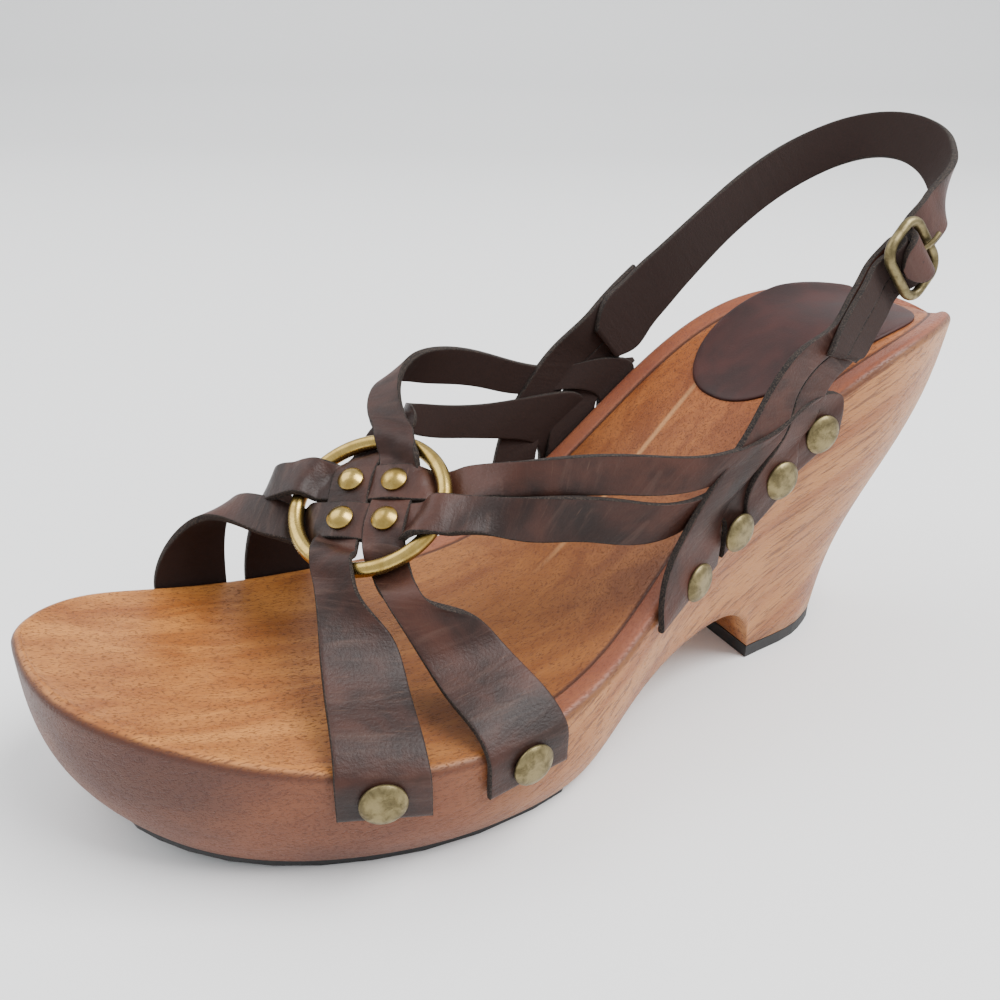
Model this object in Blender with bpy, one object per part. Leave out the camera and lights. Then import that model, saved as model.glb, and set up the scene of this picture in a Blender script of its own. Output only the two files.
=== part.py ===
"""Left sandal on a carved wooden platform sole, with woven leather straps.

The sole is one block of wood with rubber under the ball and the heel. Four leather straps
are woven through a brass ring over the toes and nailed to the sides of the block. A quarter
with two fingers is nailed to each side further back, and a sling strap runs from the inner
quarter round the heel to a buckle on the outer one.

Model sizes are millimetres and become metres when a mesh is made. +X points to the toe,
+Y to the wearer's left, which is the outer side of this left shoe, and +Z points up.
"""
import math

import bpy
import bmesh
import numpy as np

MM = 0.001

# Driving dimensions of the wooden block.
SOLE_LENGTH = 254.0
RIM_RADIUS = 2.2
WALL_CURVE = 3.6
BED_DISH = 1.6
SEAT_DISH = 3.0
RUBBER_GAP = 0.3
OUTSOLE_THICK = 2.5
TOPLIFT_THICK = 3.7
PAD_THICK = 1.3
PAD_GAP = 0.7

# Driving dimensions of the leather and of the brass.
LEATHER = 1.8
FIT_GAP = 0.35
WRAP_GAP = 0.55
FUSE = 0.15
NAIL_DEPTH = 4.8
STRAP_DEPTH = 10.0
STUD_RADIUS = 4.95
STUD_HEIGHT = 1.5
RING_RADIUS = 18.0
RING_WIRE = 1.8
DOME_RADIUS = 3.1
DOME_HEIGHT = 1.9
WEAVE_PITCH = 10.8
WEAVE_WIDTH = 10.0
BUCKLE_WIRE = 1.3

# Rim of the block. turn goes from 0 at the back of the heel to 180 at the toe, and a row
# stands at x = -SOLE_LENGTH / 2 * cos(turn).
RIM_ROWS = (
    # turn, outer y, inner y, height
    (0, 4.0, 4.0, 88.0),
    (14, 11.5, -8.0, 91.0),
    (32, 22.0, -20.0, 93.0),
    (48, 30.0, -31.0, 91.0),
    (62, 29.8, -35.0, 79.8),
    (76, 31.0, -35.0, 58.5),
    (92, 43.0, -35.0, 34.9),
    (112, 51.2, -39.0, 27.6),
    (132, 41.4, -37.5, 31.9),
    (150, 26.5, -33.0, 38.8),
    (166, 8.8, -23.0, 42.3),
    (180, -13.2, -13.2, 43.3),
)

# Underside of the block at the same turns: heel base, heel breast, arch, ball and toe.
BASE_ROWS = (
    # turn, x, outer y, inner y, height
    (0, -93.0, 0.0, 0.0, 4.0),
    (14, -90.0, 9.0, -9.0, 4.0),
    (32, -80.0, 16.0, -16.0, 4.0),
    (48, -66.0, 19.6, -19.6, 4.0),
    (56, -54.4, 20.8, -20.8, 4.0),
    (60, -52.6, 21.6, -21.6, 9.0),
    (64, -49.5, 22.8, -23.0, 15.3),
    (68, -44.0, 24.0, -25.0, 19.4),
    (73, -36.0, 25.4, -26.5, 20.4),
    (80, -22.0, 29.0, -28.0, 18.8),
    (90, -2.0, 36.5, -30.5, 12.6),
    (98, 13.0, 42.0, -32.5, 4.6),
    (104, 25.0, 45.0, -34.0, 2.8),
    (112, 44.0, 46.6, -35.2, 2.8),
    (124, 68.0, 42.6, -34.0, 2.8),
    (134, 84.5, 36.4, -32.4, 3.4),
    (144, 98.0, 28.8, -30.0, 5.2),
    (154, 108.6, 19.6, -26.6, 8.0),
    (164, 116.0, 8.4, -21.4, 11.0),
    (172, 119.6, -1.0, -17.0, 12.8),
    (180, 121.0, -10.0, -10.0, 13.4),
)
BREAST_TURN = 56.0

# Brass ring: its middle, how far its plane leans, and the compass turn of that lean.
RING_CENTRE = (48.1, -3.1, 62.2)
RING_LEAN = 30.7
RING_LEAN_TURN = 37.5
WEAVE_TURN = 55.0
LEG_START = 23.5

# Every strand crosses the ring in the ring's own plane and has a leg at each end.
# way is +1 where the strand passes over its partner behind the ring's middle.
STRANDS = (
    # name, runs (1 to the inner rear, 2 to the outer rear), side of the middle, way
    ("a1", 1, -1, 1),
    ("b1", 1, 1, -1),
    ("a2", 2, 1, 1),
    ("b2", 2, -1, -1),
)

# Where each leg is nailed: rim stations of its front and rear edge, the angle at which it
# falls onto the rim, how far it veers aside within its strand, and points on its two edges.
LEGS = {
    # strand and end: side, front x, rear x, fall, veer, front edge points, rear edge points
    ("a1", -1): ("outer", 76.0, 57.6, 40.0, 3.3, ((69.7, 20.7, 43.3), (72.9, 33.0, 37.0)),
                 ((54.5, 22.6, 43.8), (54.6, 32.7, 36.0))),
    ("b1", -1): ("outer", 45.6, 25.8, 40.0, 7.3, ((49.4, 31.0, 37.8), (48.0, 39.3, 34.2)),
                 ((36.6, 28.8, 46.2), (32.4, 31.9, 40.8), (29.6, 38.8, 36.8))),
    ("a2", -1): ("inner", 71.0, 53.0, 80.0, 0.0, ((68.5, -31.0, 51.0),), ((59.0, -35.0, 55.0),)),
    ("b2", -1): ("inner", 94.0, 76.0, 80.0, 1.5, ((81.7, -30.0, 53.4),), ((72.0, -32.0, 56.0),)),
    ("a1", 1): ("inner", -18.0, -34.0, 84.0, 6.0,
                ((26.3, -32.0, 65.5), (-1.0, -37.5, 56.7)),
                ((25.9, -31.0, 73.5), (-1.8, -38.5, 66.5))),
    ("b1", 1): ("inner", -37.0, -49.0, 84.0, -5.5,
                ((34.0, -33.0, 79.0), (21.0, -38.0, 76.5), (2.8, -39.5, 72.0), (-16.0, -38.8, 66.8)),
                ((28.2, -29.0, 83.6), (17.6, -35.5, 85.7), (-1.9, -39.0, 80.7), (-30.0, -38.2, 74.0))),
    ("a2", 1): ("outer", -46.8, -63.0, 66.0, 1.0,
                ((20.3, 18.5, 67.2), (-0.3, 28.0, 67.3), (-26.3, 32.5, 68.6)),
                ((19.1, 16.0, 74.8), (-0.9, 26.0, 76.5), (-38.6, 33.5, 78.0))),
    ("b2", 1): ("outer", -28.0, -45.6, 66.0, 1.5,
                ((20.0, 23.0, 57.9), (8.8, 28.2, 57.6), (-7.9, 32.2, 56.0)),
                ((21.2, 20.0, 68.0), (0.8, 29.0, 67.0), (-22.4, 33.0, 65.8))),
}

# Quarters: the line where each one splits into two fingers, as front, middle and rear point.
SPLITS = {
    "outer": ((-31.3, 32.6, 78.0), (-43.5, 32.8, 77.4), (-53.6, 31.2, 77.0)),
    "inner": ((-23.0, -38.6, 81.0), (-34.0, -38.6, 76.0), (-48.0, -37.4, 72.5)),
}
FINGERS = (
    # name, side, half of the split, front x, rear x, fall
    ("outer_front", "outer", 0, -5.0, -26.0, 72.0),
    ("outer_rear", "outer", 1, -33.0, -48.8, 72.0),
    ("inner_front", "inner", 0, 0.0, -15.0, 84.0),
    ("inner_rear", "inner", 1, -19.5, -35.6, 84.0),
)
# Basket weave at the quarters: the first leg lies over the second where they cross.
CROSSINGS = (
    ("a2", "outer_front"),
    ("outer_front", "b2"),
    ("b1", "inner_front"),
    ("inner_rear", "b1"),
    ("inner_front", "a1"),
)
# Pieces that lie over another one where they are nailed.
RIM_LAYERS = {("a1", 1): 1, "outer_rear": 1}
# Edges that end higher on the wall than STRAP_DEPTH: piece and column, depth.
SHORT_EDGES = {("outer_front", 0): 4.0}

# Buckle: middle of its window, the way from its front bar to its rear bar, and its size.
BUCKLE_CENTRE = (-84.7, 25.5, 112.2)
BUCKLE_WAY = (-0.75, -0.16, 0.64)
BUCKLE_OUT = (0.0, 1.0, 0.08)
BUCKLE_HALF_LONG = 6.5
BUCKLE_HALF_WIDE = 8.4
BUCKLE_CORNER = 4.2
BAR_RADIUS = 1.0
BAR_ALONG = -0.8
BAR_DROP = -2.0
SLOT_HALF = 1.05
SLOT_CORNERS = ((-4.2, -6.4), (3.2, -6.4), (3.2, 2.0), (-4.2, 2.0))
PRONG_RADIUS = 0.65
HOLE_RADIUS = 0.95

# Outer quarter from its split line up to the buckle, as front edge and rear edge.
OUTER_QUARTER = (
    # front edge x, y, z, rear edge x, y, z
    (-37.0, 31.6, 86.0, -55.5, 31.4, 83.0),
    (-46.0, 30.6, 95.5, -61.0, 30.0, 87.5),
)
TAB_WIDTH = 12.4
TAB_END = ((-54.4, 32.2, 93.8), (-65.2, 31.6, 90.7))

# Sling strap along its middle line. lean tips the top edge inward.
SLING_ROWS = (
    # x, y, z, width, lean
    (-38.0, -36.0, 79.5, 21.0, 6.0),
    (-49.0, -38.0, 89.0, 18.5, 4.0),
    (-62.0, -39.0, 99.0, 16.0, 2.0),
    (-78.0, -40.0, 110.5, 14.0, 2.0),
    (-93.0, -39.0, 120.8, 13.0, 4.0),
    (-106.0, -34.5, 128.8, 12.5, 8.0),
    (-115.2, -26.0, 134.0, 12.4, 12.0),
    (-119.0, -14.0, 135.5, 12.4, 16.0),
    (-117.8, -2.0, 133.2, 12.4, 18.0),
    (-112.3, 7.2, 129.4, 12.4, 14.0),
    (-104.2, 15.2, 124.8, 12.4, 8.0),
    (-98.0, 19.0, 121.5, 12.4, 2.0),
)
# The sling strap inside the buckle: distance along the window and rise out of its plane.
SLING_END = ((10.4, -2.9), (7.4, -3.25), (5.0, -2.5), (3.8, -0.8), (2.6, 1.2), (0.9, 2.6), (-1.2, 2.7),
             (-3.2, 1.9), (-4.8, 0.8))
TIP_LENGTH = 6.0
SLING_STEPS = 22
SLING_END_STEPS = 12
LAP_ROWS = 4
SLING_ROOT_SHARE = 0.55
LIFT_REACH = 12.8
ROOT_FADE = 6.0
SLING_HOLES = (17, 19, 30)
RIVET_GAP = 0.25

# Studs on the sides of the block, with how many layers of leather each one holds and the
# gap that is left behind its head.
STUDS = (
    # side, x, layers, gap
    ("outer", 67.2, 1, 0.5),
    ("outer", 35.5, 1, 0.25),
    ("outer", -18.0, 1, 0.5),
    ("outer", -30.5, 2, 0.5),
    ("outer", -44.0, 2, 0.5),
    ("outer", -57.0, 1, 0.5),
    ("inner", 85.0, 1, 0.5),
    ("inner", 62.0, 1, 0.5),
    ("inner", -8.0, 1, 0.5),
    ("inner", -24.0, 2, 0.5),
    ("inner", -33.0, 2, 0.5),
    ("inner", -44.0, 1, 0.5),
)


def unit(vector):
    """Vectors of length one along the last axis."""
    vector = np.asarray(vector, float)
    return vector / np.linalg.norm(vector, axis=-1, keepdims=True)


def spline(keys, values, at):
    """Natural cubic spline through (key, value) rows, read at the positions in at."""
    keys = np.asarray(keys, float)
    values = np.asarray(values, float)
    at = np.asarray(at, float)
    count = len(keys)
    step = np.diff(keys)
    flat = values.reshape(count, -1)
    slope = np.diff(flat, axis=0) / step[:, None]
    system = np.eye(count)
    right = np.zeros_like(flat)
    for row in range(1, count - 1):
        system[row, row - 1:row + 2] = (step[row - 1], 2 * (step[row - 1] + step[row]), step[row])
        right[row] = 6 * (slope[row] - slope[row - 1])
    bend = np.linalg.solve(system, right)
    place = np.clip(np.searchsorted(keys, at.ravel(), side="right") - 1, 0, count - 2)
    width = step[place][:, None]
    left = (keys[place + 1] - at.ravel())[:, None]
    gone = (at.ravel() - keys[place])[:, None]
    result = (bend[place] * left ** 3 + bend[place + 1] * gone ** 3) / (6 * width)
    result += (flat[place] / width - bend[place] * width / 6) * left
    result += (flat[place + 1] / width - bend[place + 1] * width / 6) * gone
    return result.reshape(at.shape + values.shape[1:])


# Rim of the block

RIM_TURN = [row[0] for row in RIM_ROWS]
RIM_VALUE = [row[1:] for row in RIM_ROWS]
BASE_TURN = [row[0] for row in BASE_ROWS]
BASE_VALUE = [row[1:] for row in BASE_ROWS]
SIDE_COLUMN = {"outer": 0, "inner": 1}


def turn_of(station):
    """Turn of the rim row that stands at x = station."""
    return np.degrees(np.arccos(np.clip(-2 * np.asarray(station, float) / SOLE_LENGTH, -1, 1)))


def rim_point(side, turn):
    """Point on the rim, and the outline's outward level direction there."""
    turn = np.asarray(turn, float)
    delta = 0.5

    def place(angle):
        rows = spline(RIM_TURN, RIM_VALUE, angle)
        x = -SOLE_LENGTH / 2 * np.cos(np.radians(angle))
        return np.stack([x, rows[..., SIDE_COLUMN[side]], rows[..., 2]], axis=-1)

    ahead = place(np.minimum(turn + delta, 180.0)) - place(np.maximum(turn - delta, 0.0))
    sign = 1.0 if side == "outer" else -1.0
    outward = unit(np.stack([-sign * ahead[..., 1], sign * ahead[..., 0]], axis=-1))
    outward = np.concatenate([outward, np.zeros(outward.shape[:-1] + (1,))], axis=-1)
    tip = np.where(turn <= 0, -1.0, np.where(turn >= 180, 1.0, 0.0))[..., None]
    outward = np.where(tip == 0, outward, tip * np.array([1.0, 0.0, 0.0]))
    return place(turn), outward


def bed_height(turn, across):
    """Height of the footbed at a turn, with across from -1 (inner rim) to 1 (outer rim)."""
    rows = spline(RIM_TURN, RIM_VALUE, turn)
    seat = 0.5 + 0.5 * np.cos(np.radians(np.clip((turn - 40.0) * 3.0, 0.0, 180.0)))
    dish = BED_DISH + (SEAT_DISH - BED_DISH) * seat
    ends = np.sin(np.radians(np.clip(turn, 0.0, 180.0))) ** 0.5
    return rows[..., 2] - dish * ends * (1 - across ** 4)


def wall_share(turn, down):
    """Share of the way in from rim to base that the wall has made at share down of its height."""
    ball = np.clip((turn - 78.0) / 20.0, 0.0, 1.0)
    heel = down - 0.1 * np.sin(2 * math.pi * down)
    return ball * down ** WALL_CURVE + (1 - ball) * heel


def mesh_object(name, points, faces, colour, roughness, metallic=0.0, smooth=40.0):
    """One closed object from points in millimetres and faces, with its own material."""
    shape = bmesh.new()
    corners = [shape.verts.new(tuple(point)) for point in np.asarray(points, float) * MM]
    for face in faces:
        shape.faces.new([corners[index] for index in face])
    bmesh.ops.remove_doubles(shape, verts=shape.verts, dist=0.00001)
    bmesh.ops.dissolve_degenerate(shape, edges=shape.edges, dist=0.00001)
    bmesh.ops.recalc_face_normals(shape, faces=shape.faces)
    mesh = bpy.data.meshes.new(name)
    shape.to_mesh(mesh)
    shape.free()
    mesh.shade_smooth()
    mesh.set_sharp_from_angle(angle=math.radians(smooth))
    thing = bpy.data.objects.new(name, mesh)
    bpy.context.scene.collection.objects.link(thing)
    material = bpy.data.materials.new(name + "_finish")
    material.use_nodes = True
    shader = material.node_tree.nodes["Principled BSDF"]
    shader.inputs["Base Color"].default_value = (*colour, 1.0)
    shader.inputs["Roughness"].default_value = roughness
    shader.inputs["Metallic"].default_value = metallic
    mesh.materials.append(material)
    return thing


def loop_skin(loops):
    """Points and faces of a tube through rows of equal closed loops, its ends left open."""
    rows, ring = loops.shape[:2]
    faces = []
    for row in range(rows - 1):
        for index in range(ring):
            after = (index + 1) % ring
            faces.append((row * ring + index, row * ring + after,
                          (row + 1) * ring + after, (row + 1) * ring + index))
    return loops.reshape(-1, 3), faces


def capped(loops):
    """The tube of loop_skin with a flat cap on each end."""
    points, faces = loop_skin(loops)
    rows, ring = loops.shape[:2]
    faces.append(tuple(range(ring))[::-1])
    faces.append(tuple((rows - 1) * ring + index for index in range(ring)))
    return points, faces


def sheet(outer, inner):
    """Closed strip between two grids of points of the same size."""
    rows, cols = outer.shape[:2]
    points = np.concatenate([outer.reshape(-1, 3), inner.reshape(-1, 3)])
    faces = []

    def at(layer, row, col):
        return layer * rows * cols + row * cols + col

    for row in range(rows - 1):
        for col in range(cols - 1):
            faces.append((at(0, row, col), at(0, row, col + 1),
                          at(0, row + 1, col + 1), at(0, row + 1, col)))
            faces.append((at(1, row, col), at(1, row + 1, col),
                          at(1, row + 1, col + 1), at(1, row, col + 1)))
        for col in (0, cols - 1):
            faces.append((at(0, row, col), at(0, row + 1, col), at(1, row + 1, col), at(1, row, col)))
    for row in (0, rows - 1):
        for col in range(cols - 1):
            faces.append((at(0, row, col), at(0, row, col + 1), at(1, row, col + 1), at(1, row, col)))
    return points, faces


# Wooden block

WOOD = (0.42, 0.19, 0.08)
RUBBER = (0.02, 0.02, 0.02)
HIDE = (0.07, 0.035, 0.028)
BRASS = (0.55, 0.42, 0.18)
OLD_BRASS = (0.34, 0.30, 0.18)

COLUMN_TURNS = np.array([0, 4, 8, 13, 18, 24, 30, 36, 42, 48, 52, 56, 58, 60, 62, 64, 66, 68, 70.5, 73,
                         76.5, 80, 85, 90, 94, 98, 101, 104, 108, 112, 118, 124, 129, 134, 139, 144,
                         149, 154, 159, 164, 168, 172, 175, 178, 180.0])
BED_ACROSS = np.array([-1.0, -0.8, -0.45, 0.0, 0.45, 0.8, 1.0])
WALL_DOWN = np.array([0.0, 0.2, 0.42, 0.62, 0.8, 0.92, 1.0])
BASE_ACROSS = np.array([-0.5, 0.0, 0.5])


def base_point(turn):
    """Outer and inner edge of the underside at one turn; it is flat under the heel."""
    x, outer, inner, z = spline(BASE_TURN, BASE_VALUE, turn)
    if turn <= BREAST_TURN:
        z = BASE_ROWS[0][4]
    return np.array([x, outer, z]), np.array([x, inner, z])


def block_section(turn):
    """Closed loop of points round the block at one turn, from the inner rim over the bed."""
    base = dict(zip(("outer", "inner"), base_point(turn)))
    walls = {}
    lips = {}
    for side in ("inner", "outer"):
        rim, outward = rim_point(side, turn)
        lips[side] = [rim - outward * RIM_RADIUS,
                      rim - outward * RIM_RADIUS * 0.29 - np.array([0, 0, RIM_RADIUS * 0.29])]
        start = rim - np.array([0, 0, RIM_RADIUS])
        share = wall_share(turn, WALL_DOWN)[:, None]
        level = start[:2] + (base[side][:2] - start[:2]) * share
        height = start[2] + (base[side][2] - start[2]) * WALL_DOWN
        walls[side] = np.concatenate([level, height[:, None]], axis=1)
    inner, outer = lips["inner"][0], lips["outer"][0]
    share = (BED_ACROSS[:, None] + 1) / 2
    bed = inner + (outer - inner) * share
    bed[:, 2] = bed_height(turn, BED_ACROSS)
    bed[0] = inner
    bed[-1] = outer
    mid = (base["outer"] + base["inner"]) / 2
    half = (base["outer"] - base["inner"]) / 2
    under = np.array([mid + half * step for step in BASE_ACROSS[::-1]])
    return np.concatenate([bed, [lips["outer"][1]], walls["outer"], under,
                           walls["inner"][::-1], [lips["inner"][1]]])


def make_block():
    """The carved block: loops from the back of the heel to the toe."""
    loops = np.array([block_section(turn) for turn in COLUMN_TURNS])
    points, faces = loop_skin(loops)
    return mesh_object("sole_wood", points, faces, WOOD, 0.42, smooth=50.0)


# Rubber under the ball and under the heel

OUTSOLE_TURNS = np.array([99.5, 102, 106, 112, 118, 124, 130, 136, 142, 148, 153, 157, 160.0])
OUTSOLE_INSET = 1.0
OUTSOLE_TAPER = 0.4


def make_outsole():
    """Thin rubber sheet that follows the underside from the ball to the start of the toe."""
    loops = []
    last = len(OUTSOLE_TURNS) - 1
    for index, turn in enumerate(OUTSOLE_TURNS):
        outer, inner = base_point(turn)
        narrow = OUTSOLE_INSET + (3.0 if index in (0, last) else 0.0)
        outer[1] -= narrow
        inner[1] += narrow
        top = np.array([0, 0, -RUBBER_GAP])
        low = np.array([0, 0, -RUBBER_GAP - OUTSOLE_THICK])
        side = np.array([0, OUTSOLE_TAPER, 0])
        loops.append([outer + top, outer + low - side, inner + low + side, inner + top])
    points, faces = capped(np.array(loops))
    return mesh_object("outsole_forefoot", points, faces, RUBBER, 0.75)


TOPLIFT_TURNS = np.array([0, 5, 10, 16, 22, 28, 34, 40, 46, 52, 56.0])


def make_toplift():
    """Flat rubber plate with the outline of the heel's base."""
    edge = [base_point(turn) for turn in TOPLIFT_TURNS]
    outline = [pair[0][:2] for pair in edge] + [pair[1][:2] for pair in edge[:0:-1]]
    loops = [[(x, y, z) for x, y in outline] for z in (0.0, TOPLIFT_THICK)]
    points, faces = capped(np.array(loops))
    return mesh_object("heel_toplift", points, faces, RUBBER, 0.75)


# Leather pad let onto the heel seat

PAD_CENTRE = (-83.0, -4.0)
PAD_HALF = (31.5, 23.0)
PAD_SQUARE = 2.3
PAD_RINGS = (0.0, 0.5, 0.85, 1.0)
PAD_SPOKES = 32


def bed_at(x, y):
    """Height of the footbed over a point of the floor plan."""
    turn = turn_of(x)
    rows = spline(RIM_TURN, RIM_VALUE, turn)
    middle = (rows[..., 0] + rows[..., 1]) / 2
    half = (rows[..., 0] - rows[..., 1]) / 2 - RIM_RADIUS
    return bed_height(turn, np.clip((y - middle) / half, -1, 1))


def make_pad():
    """Oval sock of leather: two discs of rings that follow the dished seat."""
    angle = np.arange(PAD_SPOKES) * 2 * math.pi / PAD_SPOKES
    cos, sin = np.cos(angle), np.sin(angle)
    round_x = np.sign(cos) * np.abs(cos) ** (2 / PAD_SQUARE)
    round_y = np.sign(sin) * np.abs(sin) ** (2 / PAD_SQUARE)
    layers = []
    for rise in (PAD_GAP + PAD_THICK, PAD_GAP):
        for share in PAD_RINGS:
            x = PAD_CENTRE[0] + PAD_HALF[0] * share * round_x
            y = PAD_CENTRE[1] + PAD_HALF[1] * share * round_y
            layers.append(np.stack([x, y, bed_at(x, y) + rise], axis=1))
    count = len(PAD_RINGS)
    loops = np.array(layers[:count] + layers[count:][::-1])
    points, faces = loop_skin(loops)
    return mesh_object("heel_pad", points, faces, HIDE, 0.5)


# Brass ring and the plane that it lies in

def ring_frame():
    """Middle of the ring, the ways of the two pairs of strands, and the plane's normal."""
    lean = math.radians(RING_LEAN)
    turn = math.radians(RING_LEAN_TURN)
    normal = np.array([math.sin(lean) * math.cos(turn), math.sin(lean) * math.sin(turn), math.cos(lean)])
    rearward = unit(np.array([-1.0, 0, 0]) + normal * normal[0])
    inward = unit(np.cross(rearward, normal)) * -1.0
    heading = math.radians(WEAVE_TURN)
    first = rearward * math.cos(heading) + inward * math.sin(heading)
    second = np.cross(first, normal)
    return np.array(RING_CENTRE), first, second, normal


def torus(centre, axis_u, axis_v, normal, radius, wire, steps, sides):
    """Closed loops of a wire ring."""
    loops = []
    for step in range(steps):
        angle = 2 * math.pi * step / steps
        out = axis_u * math.cos(angle) + axis_v * math.sin(angle)
        loops.append([centre + out * (radius + wire * math.cos(2 * math.pi * side / sides))
                      + normal * wire * math.sin(2 * math.pi * side / sides) for side in range(sides)])
    loops.append(loops[0])
    return np.array(loops)


def make_ring():
    """Plain brass ring of round wire."""
    centre, first, second, normal = ring_frame()
    points, faces = loop_skin(torus(centre, first, second, normal, RING_RADIUS, RING_WIRE, 36, 8))
    return mesh_object("ring", points, faces, BRASS, 0.3, 1.0)


# Straps

STRAND_ACROSS = np.linspace(-1.0, 1.0, 4)
STRAND_STEPS = np.concatenate([np.linspace(-LEG_START, -9.6, 7), np.linspace(-7.0, 7.0, 6),
                               np.linspace(9.6, LEG_START, 7)])
LEG_STEPS = 9
FINGER_STEPS = 5
VEER_FROM = 7.0
WEAVE_RISE = LEATHER / 2 - FUSE
RING_RISE = RING_WIRE + LEATHER / 2 + FIT_GAP + 0.2
LEG_RISE = 1.2


def strand_rise(along, aside, way):
    """Height of a strand over the ring's plane, at a distance along it and aside of the middle.

    It waves over one partner and under the other, and crosses the wire on the opposite side:
    way * (rise * sin(pi * along / pitch) - sign(along) * hump round the wire).
    """
    wave = np.where(np.abs(along) < WEAVE_PITCH, np.sin(math.pi * along / WEAVE_PITCH), 0.0)
    wire = np.sqrt(RING_RADIUS ** 2 - aside ** 2)
    beyond = (np.abs(along) - wire) * wire / RING_RADIUS
    inner = np.exp(-(np.abs(np.minimum(beyond, 0)) / 3.3) ** 3.6)
    outer = np.exp(-(np.maximum(beyond, 0) / 3.9) ** 2.8)
    hump = np.where(beyond < 0, RING_RISE * inner, LEG_RISE + (RING_RISE - LEG_RISE) * outer)
    return way * (WEAVE_RISE * wave - np.sign(along) * hump)


def strand_grid(name, run, aside, way):
    """Middle surface of a strand where it passes through the ring."""
    centre, first, second, normal = ring_frame()
    along_way, aside_way = (first, second) if run == 1 else (second, first)
    along = STRAND_STEPS[:, None]
    veer = np.where(along < 0, LEGS[name, -1][4], LEGS[name, 1][4])
    off = aside * WEAVE_PITCH / 2 + STRAND_ACROSS[None, :] * WEAVE_WIDTH / 2
    rise = strand_rise(along, off, way)
    gone = np.clip(np.abs(along) - VEER_FROM, 0.0, None) / (LEG_START - VEER_FROM)
    off = off + veer * gone ** 2
    return (centre + along[..., None] * along_way + off[..., None] * aside_way
            + rise[..., None] * normal)


def rim_wrap(side, station, fall, layer, depth):
    """Points of a strap edge that bends over the rim at a station and runs down the wall."""
    rim, outward = rim_point(side, turn_of(station))
    reach = RIM_RADIUS + WRAP_GAP + LEATHER / 2 + layer * (LEATHER - FUSE)
    pivot = rim - outward * RIM_RADIUS - np.array([0, 0, RIM_RADIUS])
    points = []
    for angle in np.radians(np.linspace(fall, 90.0, 3 if fall < 60.0 else 2)):
        points.append(pivot + reach * (outward * math.sin(angle) + np.array([0, 0, math.cos(angle)])))
    brow = points[-1]
    for share in (0.5, 1.0):
        drop = (depth - RIM_RADIUS) * share
        points.append(brow - np.array([0, 0, drop]))
    return np.array(points)


def leg_edge(before, start, vias, wrap, steps):
    """One edge of a leg: a smooth curve through its points to the rim, then over it and down."""
    tail = rim_wrap(*wrap)
    path = np.array([before, start, *vias, tail[0], tail[1]])
    gone = np.concatenate([[0.0], np.cumsum(np.linalg.norm(np.diff(path, axis=0), axis=1))])
    reading = np.linspace(gone[1], gone[-2], steps + 1)[1:]
    return np.concatenate([spline(gone, path, reading), tail[1:]])


def between(edge_a, edge_b):
    """Grid of points between two edges, edge_a at the first column and edge_b at the last."""
    share = (STRAND_ACROSS[None, :, None] + 1) / 2
    return edge_a[:, None] + (edge_b - edge_a)[:, None] * share


def leg_grid(root, name, end):
    """Leg that carries on from the last rows of a strand: root holds them, the last one last."""
    side, front, rear, fall, veer, vias_front, vias_rear = LEGS[name, end]
    edges = []
    for col, station, vias in ((0, front, vias_front), (-1, rear, vias_rear)):
        wrap = (side, station, fall, RIM_LAYERS.get((name, end), 0), STRAP_DEPTH)
        edges.append(leg_edge(root[0, col], root[1, col], vias, wrap, LEG_STEPS))
    return between(*edges)


def finger_grid(root, name, side, front, rear, fall):
    """Finger of a quarter: root holds two rows of the quarter, the split row last."""
    edges = []
    for col, station in ((0, front), (-1, rear)):
        depth = SHORT_EDGES.get((name, col), STRAP_DEPTH)
        wrap = (side, station, fall, RIM_LAYERS.get(name, 0), depth)
        edges.append(leg_edge(root[0, col], root[1, col], [], wrap, FINGER_STEPS))
    return np.concatenate([root[1:2], between(*edges)])


def outward_normal(grid, side):
    """Unit normals of a strip, turned away from the foot."""
    normal = unit(np.cross(np.gradient(grid, axis=0), np.gradient(grid, axis=1)))
    away = np.array([0.0, 1.0 if side == "outer" else -1.0, 0.8])
    turned = np.sign((normal * away).sum(axis=(0, 1)).sum())
    return normal * turned


def raise_over(over, under, side):
    """Lift one strip where it crosses another, and lower the other, so that they only touch."""
    middle = [grid[:, 1:3].mean(axis=1) for grid in (over, under)]
    apart = np.linalg.norm(middle[0][:, None] - middle[1][None], axis=-1)
    row_over, row_under = np.unravel_index(apart.argmin(), apart.shape)
    normal = outward_normal(over, side)[row_over, 1:3].mean(axis=0)
    gap = (middle[0][row_over] - middle[1][row_under]) @ normal
    wanted = LEATHER - FUSE - gap
    for grid, row, share, line in ((over, row_over, 0.5, middle[0]), (under, row_under, -0.5, middle[1])):
        gone = np.concatenate([[0.0], np.cumsum(np.linalg.norm(np.diff(line, axis=0), axis=1))])
        away = np.abs(gone - gone[row])
        left = np.clip(gone[-4] - gone, 0.0, None)
        weight = np.exp(-(away / LIFT_REACH) ** 4) * np.clip(gone / ROOT_FADE, 0.0, 1.0)
        weight = weight * np.clip(left / ROOT_FADE, 0.0, 1.0)
        local = outward_normal(grid, side)
        grid += local * (wanted * share * weight)[:, None, None]


def strip(name, grid):
    """Leather strip of even thickness about a grid of points."""
    normal = unit(np.cross(np.gradient(grid, axis=0), np.gradient(grid, axis=1))) * LEATHER / 2
    points, faces = sheet(grid + normal, grid - normal)
    return mesh_object(name, points, faces, HIDE, 0.5)


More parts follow.
